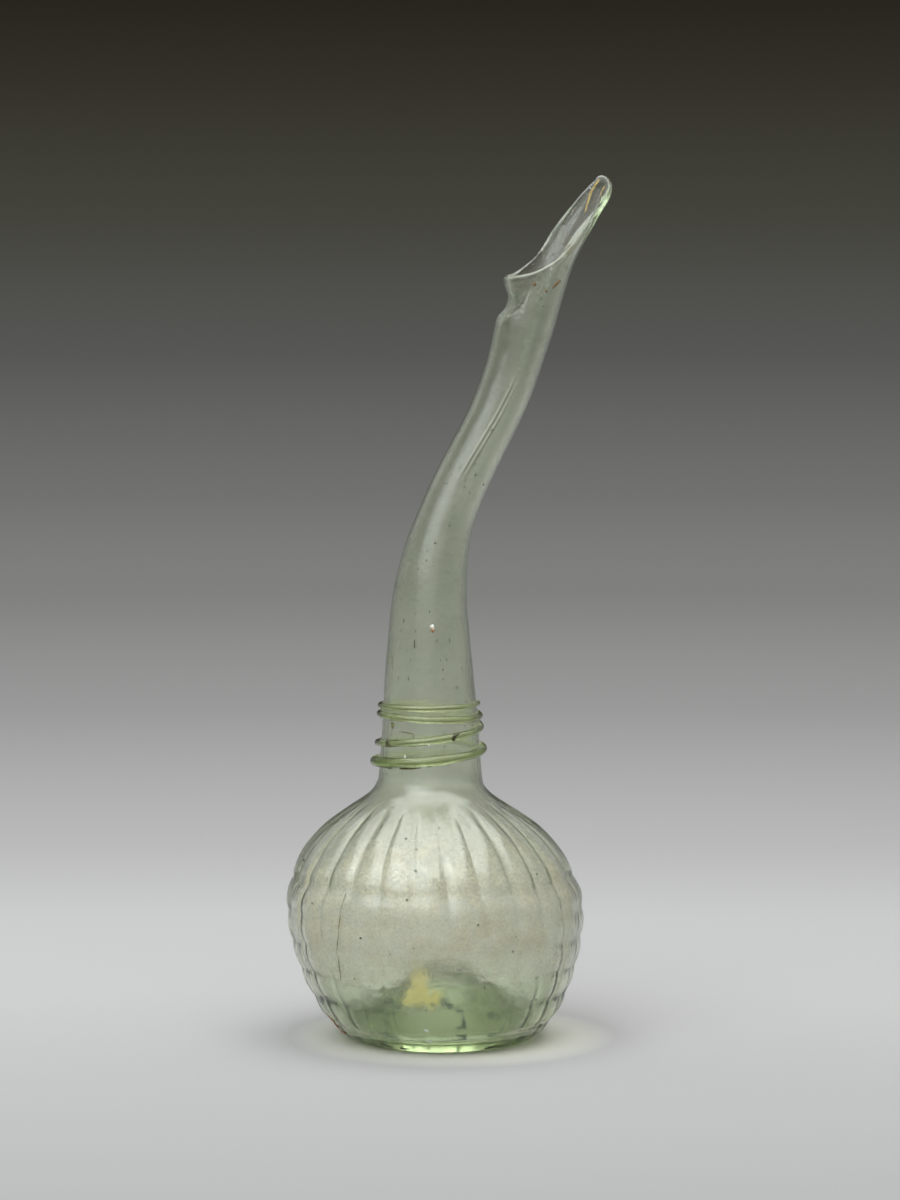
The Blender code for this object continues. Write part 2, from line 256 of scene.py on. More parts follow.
@dataclass(frozen=True)
class NeckPath:
    """The bent centre line of the neck and its outer radius."""

    foot_x: float = -0.00465
    foot_height: float = 0.0970
    foot_tilt: float = math.radians(-0.5)
    lower_run: float = 0.070
    lower_bend_run: float = 0.062
    lower_bend: float = math.radians(29.0)
    middle_run: float = 0.020
    upper_bend_run: float = 0.038
    upper_bend: float = math.radians(-12.5)
    throat_run: float = 0.007
    foot_radius: float = 0.0216
    girth: tuple[Span, ...] = (
        (0.000, 1.000),
        (0.130, 0.898),
        (0.285, 0.796),
        (0.420, 0.685),
        (0.505, 0.593),
        (0.590, 0.519),
        (0.760, 0.477),
        (0.900, 0.505),
        (1.000, 0.546),
    )

    @property
    def length(self) -> float:
        """Return the length of the centre line."""
        bends = self.lower_bend_run + self.upper_bend_run
        return self.lower_run + self.middle_run + self.throat_run + bends

    def place(self, distance: Array | float) -> tuple[Array, Array]:
        """Find places on the centre line.

        Args:
            distance: Distances along the centre line from the foot of the neck.

        Returns:
            The points, and the tilt of the line from +Z at each.
        """
        left = np.atleast_1d(np.asarray(distance, float)).copy()
        tilt = np.full_like(left, self.foot_tilt)
        point = np.zeros((len(left), 3))
        point[:, 0] = self.foot_x
        point[:, 2] = self.foot_height
        runs = (
            (self.lower_run, 0.0),
            (self.lower_bend_run, self.lower_bend),
            (self.middle_run, 0.0),
            (self.upper_bend_run, self.upper_bend),
            (self.throat_run, 0.0),
        )
        for length, turn in runs:
            run = np.clip(left, 0.0, length)
            bent = turn * run / length
            chord = run * np.sinc(0.5 * bent / math.pi)
            heading = tilt + 0.5 * bent
            point[:, 0] += chord * np.sin(heading)
            point[:, 2] += chord * np.cos(heading)
            tilt += bent
            left -= length
        return point, tilt

    def radius(self, distance: Array | float) -> Array:
        """Return the outer radius at distances along the centre line."""
        share = np.atleast_1d(np.asarray(distance, float)) / self.length
        return self.foot_radius * smooth_value(self.girth, share)

    def axes(self, tilt: Array) -> tuple[Array, Array]:
        """Return the directions ahead of the line, in its plane of bending, and along it.

        Args:
            tilt: The tilt of the line from +Z.

        Returns:
            Unit vectors ahead and along.
        """
        flat = np.zeros_like(tilt)
        ahead = np.stack([np.cos(tilt), flat, -np.sin(tilt)], axis=-1)
        along = np.stack([np.sin(tilt), flat, np.cos(tilt)], axis=-1)
        return ahead, along

    def ring(self, distance: float, angles: Array, reach: Array) -> Array:
        """Return a ring of points round the centre line.

        Args:
            distance: The distance along the centre line.
            angles: The angle of each point, 0 being ahead, where the neck bends to.
            reach: How far each point stands off the centre line.

        Returns:
            One point for each angle.
        """
        centre, tilt = self.place(distance)
        ahead, _ = self.axes(tilt)
        sideways = np.array([0.0, 1.0, 0.0])
        round_it = np.cos(angles)[:, None] * ahead + np.sin(angles)[:, None] * sideways
        return centre + np.asarray(reach)[..., None] * round_it


@dataclass(frozen=True)
class BodyOutline:
    """The plain outline of the body, its pushed-in base and its lean."""

    radius: float = 0.0600
    widest_height: float = 0.0533
    shoulder_height: float = 0.0958
    shoulder_fullness: float = 1.755
    belly_fullness: float = 1.76
    foot_radius: float = 0.0330
    neck_foot_radius: float = 0.0216
    lean: float = math.radians(-3.1)
    kick_radius: float = 0.0270
    kick_height: float = 0.0250
    kick_fullness: float = 0.60

    def radius_at(self, height: Array) -> Array:
        """Return the outer radius at heights, two superellipse quarters.

        Args:
            height: Heights above the ground.

        Returns:
            One radius for each height.
        """
        low = height < self.widest_height
        below = (self.widest_height - height) / self.widest_height
        above = (height - self.widest_height) / (self.shoulder_height - self.widest_height)
        share = np.clip(np.where(low, below, above), 0.0, 1.0)
        fullness = np.where(low, self.belly_fullness, self.shoulder_fullness)
        inner = np.where(low, self.foot_radius, self.neck_foot_radius)
        swell = (1.0 - share**fullness) ** (1.0 / fullness)
        return inner + (self.radius - inner) * swell

    def centre_at(self, height: Array) -> Array:
        """Return how far the body's centre stands off the foot's centre at heights."""
        return math.tan(self.lean) * height

    def kick_at(self, share: Array) -> Array:
        """Return the height of the pushed-in base at shares of its radius."""
        return self.kick_height * (1.0 - np.clip(share, 0.0, 1.0) ** 2) ** self.kick_fullness


@dataclass(frozen=True)
class MouthShape:
    """The leaf-shaped mouth, in shares of the throat's radius."""

    lip: Spot = (-1.15, 1.41)
    lip_handle: Spot = (0.91, 2.26)
    tip_handle: Spot = (0.45, 4.19)
    tip: Spot = (1.75, 5.55)
    wide_half: float = 1.03
    narrow_half: float = 0.65
    narrowing: Span = (0.26, 1.08)
    twist: float = math.radians(33.0)
    twisting: Span = (0.12, 0.92)
    lip_sweep: float = 0.35
    tip_sweep: float = 0.50
    lip_rounding: float = 0.20
    tip_rounding: float = 0.10
    press_depth: float = 0.0031
    press_turn: Span = (0.10, 0.34)
    press_start: Span = (0.0, 0.50)
    press_end: Span = (0.60, 1.0)
    hollow_depth: float = 0.0013
    hollow_turn: Span = (0.45, 0.85)
    hollow_middle: float = 0.52
    hollow_reach: float = 0.24
    swell_start: Span = (0.75, 1.0)
    rim_swell: float = 0.0006
    near_swell: float = 0.0008
    far_share: float = 0.15
    near_start: Span = (0.35, 0.6)
    near_end: Span = (0.93, 1.0)

    def rim(self, neck: NeckPath, turn: Array, side: Array) -> Array:
        """Find the rim.

        Args:
            neck: The neck that the mouth grows from.
            turn: Shares of the half turn from the lip to the tip.
            side: 1 on the +Y side of the mouth and -1 on the other.

        Returns:
            One point of the rim's outer edge for each turn.
        """
        share = 0.5 * (1.0 - np.cos(math.pi * turn))
        corners = [np.array(p) for p in (self.lip, self.lip_handle, self.tip_handle, self.tip)]
        middle = bezier(corners, share[:, None])
        narrower = ease(*self.narrowing, share)
        half = self.wide_half + (self.narrow_half - self.wide_half) * narrower
        half = half * self.rounded(share, self.lip_rounding)
        half = half * self.rounded(1.0 - share, self.tip_rounding)
        hang = half * np.tan(self.twist * ease(*self.twisting, share))
        throat, tilt = neck.place(neck.length)
        ahead, along = neck.axes(tilt)
        sideways = np.array([0.0, 1.0, 0.0])
        offset = middle[:, :1] * ahead + (middle[:, 1] + side * hang)[:, None] * along
        offset = offset + (side * half)[:, None] * sideways
        return throat + float(neck.radius(neck.length)[0]) * offset

    @staticmethod
    def rounded(share: Array, length: float) -> Array:
        """Return the half width of a round end that is full after a length."""
        left = 1.0 - np.minimum(share / length, 1.0)
        return np.sqrt(np.maximum(1.0 - left * left, 0.0))

    def thicker(self, steps: Array, turn: Array, side: Array) -> Array:
        """Find how much thicker the fire-polished glass is towards the rim.

        Args:
            steps: Shares of the way from the throat to the rim.
            turn: Shares of the half turn from the lip to the tip.
            side: 1 on the +Y side of the mouth and -1 on the other.

        Returns:
            What the wall gains at each place.
        """
        share = 0.5 * (1.0 - np.cos(math.pi * turn))
        near = np.where(side < 0.0, 1.0, self.far_share) * ease(*self.near_start, share)
        near = near * (1.0 - ease(*self.near_end, share))
        return ease(*self.swell_start, steps) * (self.rim_swell + self.near_swell * near)

    def pressed(self, steps: Array, turn: Array) -> Array:
        """Find how far the glass is pressed in under the lip and out behind the tip.

        Args:
            steps: Shares of the way from the throat to the rim, a row for each ring.
            turn: Shares of the half turn from the lip to the tip.

        Returns:
            Moves towards the side that the neck bends to.
        """
        under_lip = 1.0 - ease(*self.press_turn, turn)[None]
        depth = ease(*self.press_start, steps) * (1.0 - ease(*self.press_end, steps))
        behind_tip = ease(*self.hollow_turn, turn)[None]
        hollow = bump(self.hollow_middle, self.hollow_reach, steps) * behind_tip
        return self.press_depth * depth * under_lip - self.hollow_depth * hollow


@dataclass(frozen=True)
class Ribs:
    """The mould-blown ribs: one tall tier on the shoulder and low tiers under it."""

    count: int = 26
    turn: float = math.radians(-6.9)
    shoulder_depth: float = 0.0018
    belly_depth: float = 0.0008
    tier_top: float = 0.0655
    tier_pitch: float = 0.0116
    tier_depth: float = 0.0010
    top_tier_depth: float = 0.0013
    sharpness: float = 3.0
    softness: float = 6.0
    groove_sharpness: float = 1.8
    top_groove_width: float = 0.36
    groove_start: Span = (-0.60, 0.0)
    groove_fade: float = 0.007
    change_over: float = 0.0060
    neck_fade: Span = (0.0235, 0.0340)
    foot_fade: float = 0.0060
    foot_loss: float = 0.6
    worn_at: float = math.radians(-106.0)
    worn_heights: Span = (0.048, 0.064)
    worn_width: float = 1.0
    shoulder_worn_width: float = 0.8
    belly_worn: float = 0.85
    shoulder_worn: float = 0.35
    groove_worn: float = 0.58
    plain_radius: float = 0.06
    wander: Ripple = Ripple(11, 0.045, 0.10)
    unevenness: Ripple = Ripple(12, 0.040, 0.30)
    sway: Ripple = Ripple(13, 0.060, 0.0010)
    valley_sway: float = 0.0008
    valley_middle: float = 0.3

    def sink(self, angles: Array, height: Array, radius: Array) -> Array:
        """Find how far the pattern sinks into the body.

        Args:
            angles: The angle of each column.
            height: The height of each row, as a column array.
            radius: The outline's radius at each row, as a column array.

        Returns:
            Depths, one row for each height and one column for each angle.
        """
        across, ahead = self.plain_radius * np.cos(angles), self.plain_radius * np.sin(angles)
        spot = np.stack(np.broadcast_arrays(across, ahead, height), axis=-1)
        strength = 1.0 + self.unevenness.at(spot)
        place = (angles - self.turn) * self.count / FULL_TURN + self.wander.at(spot)
        across = np.abs(2.0 * (place - np.floor(place)) - 1.0)
        rounding = self.sharpness / self.softness * (1.0 - across**self.softness)
        valley = across**self.sharpness * (1.0 + rounding)
        top = self.tier_top
        on_shoulder = ease(top - self.change_over, top + self.change_over, height)
        off_neck = ease(*self.neck_fade, radius)
        near_foot = 1.0 - ease(0.0, self.foot_fade, height)
        low = 1.0 - ease(*self.worn_heights, height)
        off = off_angle(angles, self.worn_at)
        worn = self.belly_worn * bump(0.0, self.worn_width, off) * low
        plainer = self.shoulder_worn * bump(0.0, self.shoulder_worn_width, off)
        depth = self.belly_depth * (1.0 - worn)
        depth = depth + (self.shoulder_depth * (1.0 - plainer) - depth) * on_shoulder
        depth = depth * strength * off_neck * (1.0 - self.foot_loss * near_foot)
        return depth * valley + self.groove(angles, height, spot, valley)

    def groove(self, angles: Array, height: Array, spot: Array, valley: Array) -> Array:
        """Find the depth of the grooves between the tiers, which are worn shallow in front.

        Args:
            angles: The angle of each column.
            height: The height of each row, as a column array.
            spot: The place of each vertex on a plain cylinder.
            valley: How deep in a valley between two ribs each vertex lies.

        Returns:
            Depths, one for each row and column.
        """
        sway = self.sway.at(spot) + self.valley_sway * (valley - self.valley_middle)
        steps = (self.tier_top - height + sway) / self.tier_pitch
        inside = ease(*self.groove_start, steps)
        swing = np.abs(2.0 * (steps - np.floor(steps)) - 1.0) ** self.groove_sharpness
        top = bump(0.0, self.top_groove_width, steps)
        off = off_angle(angles, self.worn_at)
        worn = 1.0 - self.groove_worn * bump(0.0, self.worn_width, off)
        depth = self.tier_depth + (self.top_tier_depth - self.tier_depth) * top
        fading = ease(0.0, self.groove_fade, height)
        upper = np.where(steps < 0.0, top, swing)
        return depth * worn * inside * fading * upper


@dataclass(frozen=True)
class Stain:
    """A stain on the inside of the glass, along a line that the camera sees; one dark one under the
    lip is painted shade.
    """

    tone: Tone
    start: Spot
    end: Spot
    reach: float
    wall: int

    def field(self, sight: Sight, points: Array) -> Array:
        """Return how near points are to the stain, 1 on its line and 0 at its reach.

        Args:
            sight: Where the camera sees the vessel's walls.
            points: Places on the film.

        Returns:
            One share for each point.
        """
        start = sight.surface(self.start, self.wall)[0]
        line = sight.surface(self.end, self.wall)[0] - start
        share = np.clip(((points - start) @ line) / max(float(line @ line), TINY), 0.0, 1.0)
        off = np.linalg.norm(points - start - share[..., None] * line, axis=-1)
        return np.clip(1.0 - off / self.reach, 0.0, 1.0)


@dataclass(frozen=True)
class Fleck:
    """A speck of dirt, a seed in the glass, a painted glint or a painted spot of shade, along a line
    that the camera sees.
    """

    start: Spot
    end: Spot
    width: float
    wall: int = 0
    flatness: float = 0.35


class Sight:
    """What the camera sees of the vessel, in places of a picture 900 wide and 1200 high."""

    middle = (450.0, 600.0)
    height = 1200.0
    step_past = 1e-5

    def __init__(self, studio: Studio, piece: bpy.types.Object) -> None:
        """Take the camera's place and the piece's surface.

        Args:
            studio: The studio that holds the camera.
            piece: The piece that it looks at.
        """
        self.place = Vector(studio.camera_place)
        self.ahead = (Vector(studio.camera_target) - self.place).normalized()
        self.right = self.ahead.cross(Vector(UP)).normalized()
        self.up = self.right.cross(self.ahead)
        self.focus = studio.lens / studio.sensor * self.height
        mesh = bmesh.new()
        mesh.from_mesh(piece.data)
        self.tree = BVHTree.FromBMesh(mesh)
        mesh.free()

    def surfaces(self, spot: Spot) -> list[tuple[Array, Array]]:
        """Return the point and the normal of each surface behind a place in the picture.

        Args:
            spot: The place in the picture.

        Returns:
            Pairs of a point and the normal that faces the camera, the nearest first.
        """
        right = spot[0] - self.middle[0]
        down = spot[1] - self.middle[1]
        way = (self.ahead * self.focus + self.right * right - self.up * down).normalized()
        start = self.place
        found = []
        while True:
            point, normal, _, _ = self.tree.ray_cast(start, way)
            if point is None:
                return found
            facing = normal if normal.dot(way) < 0.0 else -normal
            found.append((np.array(point), np.array(facing)))
            start = point + way * self.step_past

    def surface(self, spot: Spot, wall: int) -> tuple[Array, Array]:
        """Return the point and the normal of one surface behind a place in the picture.

        Args:
            spot: The place in the picture.
            wall: Which surface, counted from the camera.

        Returns:
            The point and the normal.
        """
        found = self.surfaces(spot)
        return found[min(wall, len(found) - 1)]


@dataclass(frozen=True)
class PontilScar:
    """The rough ring that the pontil rod left on the pushed-in base."""

    radius: float = 0.0108
    width: float = 0.0022
    height: float = 0.0014
    outer_share: float = -0.8
    evenness: float = 0.55
    raggedness: tuple[Ripple, ...] = (Ripple(31, 0.0042, 0.60), Ripple(32, 0.0019, 0.35))
    roughness: Ripple = Ripple(33, 0.0050, 0.00030)
    rough_radii: Span = (0.004, 0.010)
    rough_heights: Span = (0.002, 0.012)

    def applied(self, rings: Array, layer: Layer) -> Array:
        """Make the rings of the base uneven where the scar is.

        Args:
            rings: The plain rings of the base.
            layer: The side of the wall.

        Returns:
            The uneven rings.
        """
        radius = np.hypot(rings[..., 0], rings[..., 1])
        ragged = self.evenness + rippled(self.raggedness, rings)
        share = 1.0 if layer is Layer.INSIDE else self.outer_share
        lift = self.height * bump(self.radius, self.width, radius) * ragged * share
        rough = self.roughness.at(rings) * ease(*self.rough_radii, radius)
        lumps = rings.copy()
        lumps[..., 2] += lift + rough * ease(*self.rough_heights, rings[..., 2])
        return lumps


@dataclass(frozen=True)
class ToolMarks:
    """Two fine lines that a tool drew along the upper neck."""

    start: Span = (0.128, 0.136)
    end: Span = (0.170, 0.178)
    middle: float = 0.150
    angle: float = math.radians(-104.0)
    drift: float = 7.0
    apart: float = 0.075
    width: float = 0.045
    height: float = 0.00022

    def at(self, distance: float, angles: Array) -> Array:
        """Find how high the lines stand on one ring of the neck.

        Args:
            distance: The ring's distance along the neck.
            angles: The angle of each column.

        Returns:
            One height for each angle.
        """
        along = ease(*self.start, distance) * (1.0 - ease(*self.end, distance))
        off = off_angle(angles, self.angle + self.drift * (distance - self.middle))
        pair = bump(-self.apart, self.width, off) + bump(self.apart, self.width, off)
        return self.height * along * pair


@dataclass(frozen=True)
class RingCounts:
    """How many rings each stretch of the vessel's wall is drawn with."""

    kick: int = 30
    roll: int = 6
    belly: int = 92
    shoulder: int = 12
    low_neck: int = 46
    high_neck: int = 30
    mouth: int = 32
    rim: int = 7
    inner_mouth: int = 30
    inner_neck: int = 50
    inner_shoulder: int = 8
    inner_belly: int = 44
    inner_base: int = 15


@dataclass
class Vessel:
    """The blown vessel, one wall of glass from the crown of its base to its rim."""

    axis_x: float
    body: BodyOutline = field(default_factory=BodyOutline)
    neck: NeckPath = field(default_factory=NeckPath)
    mouth: MouthShape = field(default_factory=MouthShape)
    ribs: Ribs = field(default_factory=Ribs)
    scar: PontilScar = field(default_factory=PontilScar)
    marks: ToolMarks = field(default_factory=ToolMarks)
    counts: RingCounts = field(default_factory=RingCounts)
    columns_per_rib: int = 9
    valley_crowding: float = 0.55
    base_wall: float = 0.0034
    low_wall: float = 0.0022
    body_wall: float = 0.0020
    neck_wall: float = 0.0019
    lip_wall: float = 0.0017
    low_height: float = 0.022
    lip_height: float = 0.345
    kick_end: float = 0.93
    foot_roll: tuple[Spot, Spot] = ((0.0272, 0.0), (0.0300, 0.0))
    belly_heights: Span = (0.0002, 0.0885)
    belly_crowding: float = 0.07
    waves_above: float = 0.010
    shoulder_sweep: tuple[Spot, Spot] = ((0.0297, 0.0967), (0.0226, 0.0982))
    shoulder_shift: float = 0.0006
    shifted_by: Span = (0.2, 1.0)
    ribs_end: Span = (0.0, 0.5)
    waves_end: Span = (0.4, 1.0)
    neck_join: float = 0.0080
    neck_middle: float = 0.150
    neck_waves_start: Span = (0.008, 0.030)
    neck_waves_end: Span = (0.185, 0.197)
    inner_neck_end: float = 0.0030
    inner_mouth_start: int = 3
    rim_rounding: float = 0.0010
    inner_belly_low: float = 0.0095
    trough: tuple[Spot, ...] = ((0.0440, 0.0032), (0.0375, 0.0028), (0.0330, 0.0085))
    flank: tuple[Spot, Spot] = ((0.0265, 0.0170), (0.0150, 0.0265))
    crown_radii: Span = (0.0098, 0.0060)
    crown_drop: float = 0.0004
    body_waves: tuple[Ripple, ...] = (Ripple(21, 0.050, 0.0003), Ripple(22, 0.012, 0.000105))
    inner_waves: Ripple = Ripple(23, 0.020, 0.00010)
    neck_waves: tuple[Ripple, ...] = (Ripple(41, 0.045, 0.00016), Ripple(42, 0.011, 0.000048))
    inner_neck_waves: Ripple = Ripple(43, 0.024, 0.00008)

    def columns(self) -> Array:
        """Return each column's share of a turn, closer together in the rib valleys.

        Returns:
            One share from 0 to 1 for each column.
        """
        step = np.arange(self.ribs.count * self.columns_per_rib) / self.columns_per_rib
        within = step - np.floor(step)
        closer = within - self.valley_crowding * np.sin(FULL_TURN * within) / FULL_TURN
        return (np.floor(step) + closer) / self.ribs.count

    def angles(self) -> Array:
        """Return the angle of each column round the body."""
        return self.ribs.turn + FULL_TURN * self.columns()

    def wall_at(self, height: Array) -> Array:
        """Return the thickness of the glass at heights.

        Args:
            height: Heights above the ground.

        Returns:
            One thickness for each height.
        """
        stations = (
            (0.0, self.base_wall),
            (self.low_height, self.low_wall),
            (self.body.widest_height, self.body_wall),
            (self.neck.foot_height, self.neck_wall),
            (self.lip_height, self.lip_wall),
        )
        places, values = np.array(stations).T
        return np.interp(height, places, values)

    @staticmethod
    def round_rings(centre: Array, reach: Array, height: Array, angles: Array) -> Array:
        """Lay points round an upright axis.

        Args:
            centre: How far along X each ring's middle is.
            reach: How far each point is from it.
            height: The height of each ring, as a column array.
            angles: The angle of each column.

        Returns:
            Rings of points.
        """
        across, ahead = centre + reach * np.cos(angles), reach * np.sin(angles)
        return np.stack(np.broadcast_arrays(across, ahead, height), axis=-1)

    def waved(self, rings: Array, angles: Array, layer: Layer, share: Array) -> Array:
        """Give rings of the body the soft waves of blown glass.

        Args:
            rings: The rings.
            angles: The angle of each column.
            layer: The side of the wall.
            share: How much of the waves each ring gets, as a column array.

        Returns:
            The waved rings.
        """
        swell = rippled(self.body_waves, rings)
        if layer is Layer.INSIDE:
            swell = swell + self.inner_waves.at(rings)
        outward = np.stack([np.cos(angles), np.sin(angles), 0.0 * angles], axis=-1)
        return rings + (swell * share)[..., None] * outward

    def base_rings(self, profile: Array, angles: Array, layer: Layer) -> Array:
        """Return the rings of the pushed-in base, which has no ribs and doesn't lean.

        Args:
            profile: Rows of a radius and a height.
            angles: The angle of each column.
            layer: The side of the wall.

        Returns:
            Rings of points, one for each row of the profile.
        """
        radius, height = profile[:, :1], profile[:, 1:]
        return self.scar.applied(self.round_rings(0.0, radius, height, angles), layer)

    def belly_rings(self, profile: Array, angles: Array, layer: Layer) -> Array:
        """Turn a profile of the body into ribbed rings.

        Args:
            profile: Rows of a radius and a height.
            angles: The angle of each column.
            layer: The side of the wall.

        Returns:
            Rings of points, one for each row of the profile.
        """
        radius, height = profile[:, :1], profile[:, 1:]
        reach = radius - self.ribs.sink(angles, height, radius)
        rings = self.round_rings(self.body.centre_at(height), reach, height, angles)
        return self.waved(rings, angles, layer, ease(0.0, self.waves_above, height))

    def belly_profile(self, rows: int) -> Array:
        """Return the body's outline from the foot to the start of the shoulder's sweep.

        Args:
            rows: How many rows it has.

        Returns:
            Rows of a radius and a height.
        """
        low, high = self.belly_heights
        share = np.linspace(0.0, 1.0, rows)
        height = low + (high - low) * (share - self.belly_crowding * np.sin(FULL_TURN * share))
        return np.stack([self.body.radius_at(height), height], axis=-1)

    def inset(self, profile: Array) -> Array:
        """Return a profile moved in by the wall, across its own run.

        Args:
            profile: Rows of a radius and a height.

        Returns:
            The profile of the inner side.
        """
        run = np.gradient(profile, axis=0)
        run /= np.linalg.norm(run, axis=1, keepdims=True)
        inward = np.stack([-run[:, 1], run[:, 0]], axis=-1)
        return profile + self.wall_at(profile[:, 1])[:, None] * inward

    def kick_profile(self, rows: int) -> Array:
        """Return the outline of the pushed-in base, from its crown to the foot's inner edge.

        Args:
            rows: How many rows it has.

        Returns:
            Rows of a radius and a height.
        """
        share = np.sin(0.5 * math.pi * np.linspace(0.0, self.kick_end, rows))
        return np.stack([self.body.kick_radius * share, self.body.kick_at(share)], axis=-1)

    def shoulder_rings(self, angles: Array, rows: int, layer: Layer) -> Array:
        """Sweep the shoulder up into the neck.

        Args:
            angles: The angle of each column.
            rows: How many rings the sweep has.
            layer: The side of the wall.

        Returns:
            Rings from just above the ribs to the straight foot of the neck.
        """
        top = self.belly_heights[1]
        start = (float(self.body.radius_at(np.array(top))), top)
        end = (float(self.neck.radius(self.neck_join)[0]), self.neck.foot_height + self.neck_join)
        corners = [np.array(corner) for corner in (start, *self.shoulder_sweep, end)]
        t = np.linspace(0.0, 1.0, rows + 2)[:, None]
        profile = bezier(corners, t)
        if layer is Layer.INSIDE:
            profile = self.inset(profile)
        radius, height = profile[:, :1], profile[:, 1:]
        centre = self.body.centre_at(height) + self.shoulder_shift * ease(*self.shifted_by, t)
        sink = self.ribs.sink(angles, height, radius) * (1.0 - ease(*self.ribs_end, t))
        rings = self.round_rings(centre, radius - sink, height, angles)
        return self.waved(rings, angles, layer, 1.0 - ease(*self.waves_end, t))[1:-1]

    def neck_rings(self, shares: Array, distances: Array, layer: Layer) -> Array:
        """Build the rings of the neck.

        Args:
            shares: Each column's share of a turn.
            distances: Distances along the neck's centre line.
            layer: The side of the wall.

        Returns:
            One ring for each distance.
        """
        rings = []
        for distance in distances:
            left = 1.0 - distance / self.neck.length
            angles = self.ribs.turn * left + FULL_TURN * shares
            reach = np.full(len(shares), float(self.neck.radius(distance)[0]))
            if layer is Layer.INSIDE:
                centre, _ = self.neck.place(distance)
                reach = reach - self.wall_at(centre[0, 2])
            plain = self.neck.ring(distance, angles, reach)
            fade = ease(*self.neck_waves_start, distance)
            fade = fade * (1.0 - ease(*self.neck_waves_end, distance))
            reach = reach + rippled(self.neck_waves, plain) * fade
            if layer is Layer.INSIDE:
                reach = reach + self.inner_neck_waves.at(plain) * fade
            else:
                reach = reach + self.marks.at(distance, angles)
            rings.append(self.neck.ring(distance, angles, reach))
        return np.array(rings)

    def mouth_rings(self, shares: Array, rows: int, layer: Layer) -> Array:
        """Sweep the throat out to the rim.

        Args:
            shares: Each column's share of a turn.
            rows: How many rings the sweep has.
            layer: The side of the wall.

        Returns:
            Rings from just above the throat to the edge of the rim.
        """
        shape = self.mouth
        turn = np.abs(1.0 - 2.0 * shares)
        side = np.where(shares < 0.5, 1.0, -1.0)
        _, tilt = self.neck.place(self.neck.length)
        ahead, along = self.neck.axes(tilt)
        throat = self.neck_rings(shares, np.array([self.neck.length]), Layer.OUTSIDE)[0]
        rim = shape.rim(self.neck, turn, side)
        reach = np.linalg.norm(rim - throat, axis=1, keepdims=True)
        sweep = (shape.lip_sweep + (shape.tip_sweep - shape.lip_sweep) * turn)[:, None]
        bend = throat + sweep * reach * along
        last = 1.0 - self.rim_rounding / (2.0 * (1.0 - sweep) * reach)
        steps = np.linspace(0.0, 1.0, rows + 1)
        t = steps[:, None, None] * last[None]
        outside = bezier([throat[None], bend[None], rim[None]], t)
        outside = outside + shape.pressed(t[..., 0], turn)[..., None] * ahead[None]
        if layer is Layer.OUTSIDE:
            return outside[1:]
        across = np.roll(outside, -1, axis=1) - np.roll(outside, 1, axis=1)
        normal = np.cross(across, np.gradient(outside, axis=0))
        normal /= np.linalg.norm(normal, axis=2, keepdims=True)
        wall = self.wall_at(outside[..., 2]) + shape.thicker(steps[:, None], turn, side)
        return (outside - wall[..., None] * normal)[self.inner_mouth_start :]

    def rim_rings(self, outer: Array, inner: Array, run: Array) -> Array:
        """Round the rim over from the outer to the inner edge.

        Args:
            outer: The rim's outer edge.
            inner: The rim's inner edge.
            run: The direction that the wall runs in at each column.

        Returns:
            Rings over the rim, without the two edges.
        """
        middle = 0.5 * (outer + inner)
        arm = outer - middle
        height = np.linalg.norm(arm, axis=1, keepdims=True)
        rings = []
        for step in range(1, self.counts.rim):
            angle = math.pi * step / self.counts.rim
            rings.append(middle + arm * math.cos(angle) + run * height * math.sin(angle))
        return np.array(rings)

    def skin(self) -> Array:
        """Return the rings of the whole wall, from the outer crown over the rim to the inner.

        Returns:
            Rings of points, all with as many columns.
        """
        outside = self.outside_rings()
        inside = self.inside_rings()
        run = outside[-1] - outside[-2]
        run /= np.linalg.norm(run, axis=1, keepdims=True)
        rim = self.rim_rings(outside[-1], inside[0], run)
        rings = np.concatenate([outside, rim, inside])
        rings[..., 0] += self.axis_x
        return rings

    def outside_rings(self) -> Array:
        """Return the rings of the outer side, from the crown of the base to the rim.

        Returns:
            Rings of points, all with as many columns.
        """
        shares, angles, counts = self.columns(), self.angles(), self.counts
        kick = self.kick_profile(counts.kick)
        corners = [kick[-1], *(np.array(corner) for corner in self.foot_roll)]
        roll = bezier(corners, np.linspace(0.0, 1.0, counts.roll + 1)[1:, None])
        base = self.base_rings(np.concatenate([kick, roll]), angles, Layer.OUTSIDE)
        belly = self.belly_rings(self.belly_profile(counts.belly), angles, Layer.OUTSIDE)
        shoulder = self.shoulder_rings(angles, counts.shoulder, Layer.OUTSIDE)
        low = np.linspace(self.neck_join, self.neck_middle, counts.low_neck)
        high = np.linspace(self.neck_middle, self.neck.length, counts.high_neck)[1:]
        neck = self.neck_rings(shares, np.concatenate([low, high]), Layer.OUTSIDE)
        mouth = self.mouth_rings(shares, counts.mouth, Layer.OUTSIDE)
        return np.concatenate([base, belly, shoulder, neck, mouth])

    def inside_rings(self) -> Array:
        """Return the rings of the inner side, from the rim down to the crown of the base.

        Returns:
            Rings of points, all with as many columns.
        """
        shares, angles, counts = self.columns(), self.angles(), self.counts
        mouth = self.mouth_rings(shares, counts.inner_mouth, Layer.INSIDE)[::-1]
        neck_end = self.neck.length - self.inner_neck_end
        distances = np.linspace(self.neck_join, neck_end, counts.inner_neck)[::-1]
        neck = self.neck_rings(shares, distances, Layer.INSIDE)
        shoulder = self.shoulder_rings(angles, counts.inner_shoulder, Layer.INSIDE)[::-1]
        belly = self.inset(self.belly_profile(counts.inner_belly))[::-1]
        belly = belly[belly[:, 1] > self.inner_belly_low]
        low = self.belly_rings(belly, angles, Layer.INSIDE)
        base = self.base_rings(self.inner_base_profile(belly[-1]), angles, Layer.INSIDE)
        return np.concatenate([mouth, neck, shoulder, low, base])

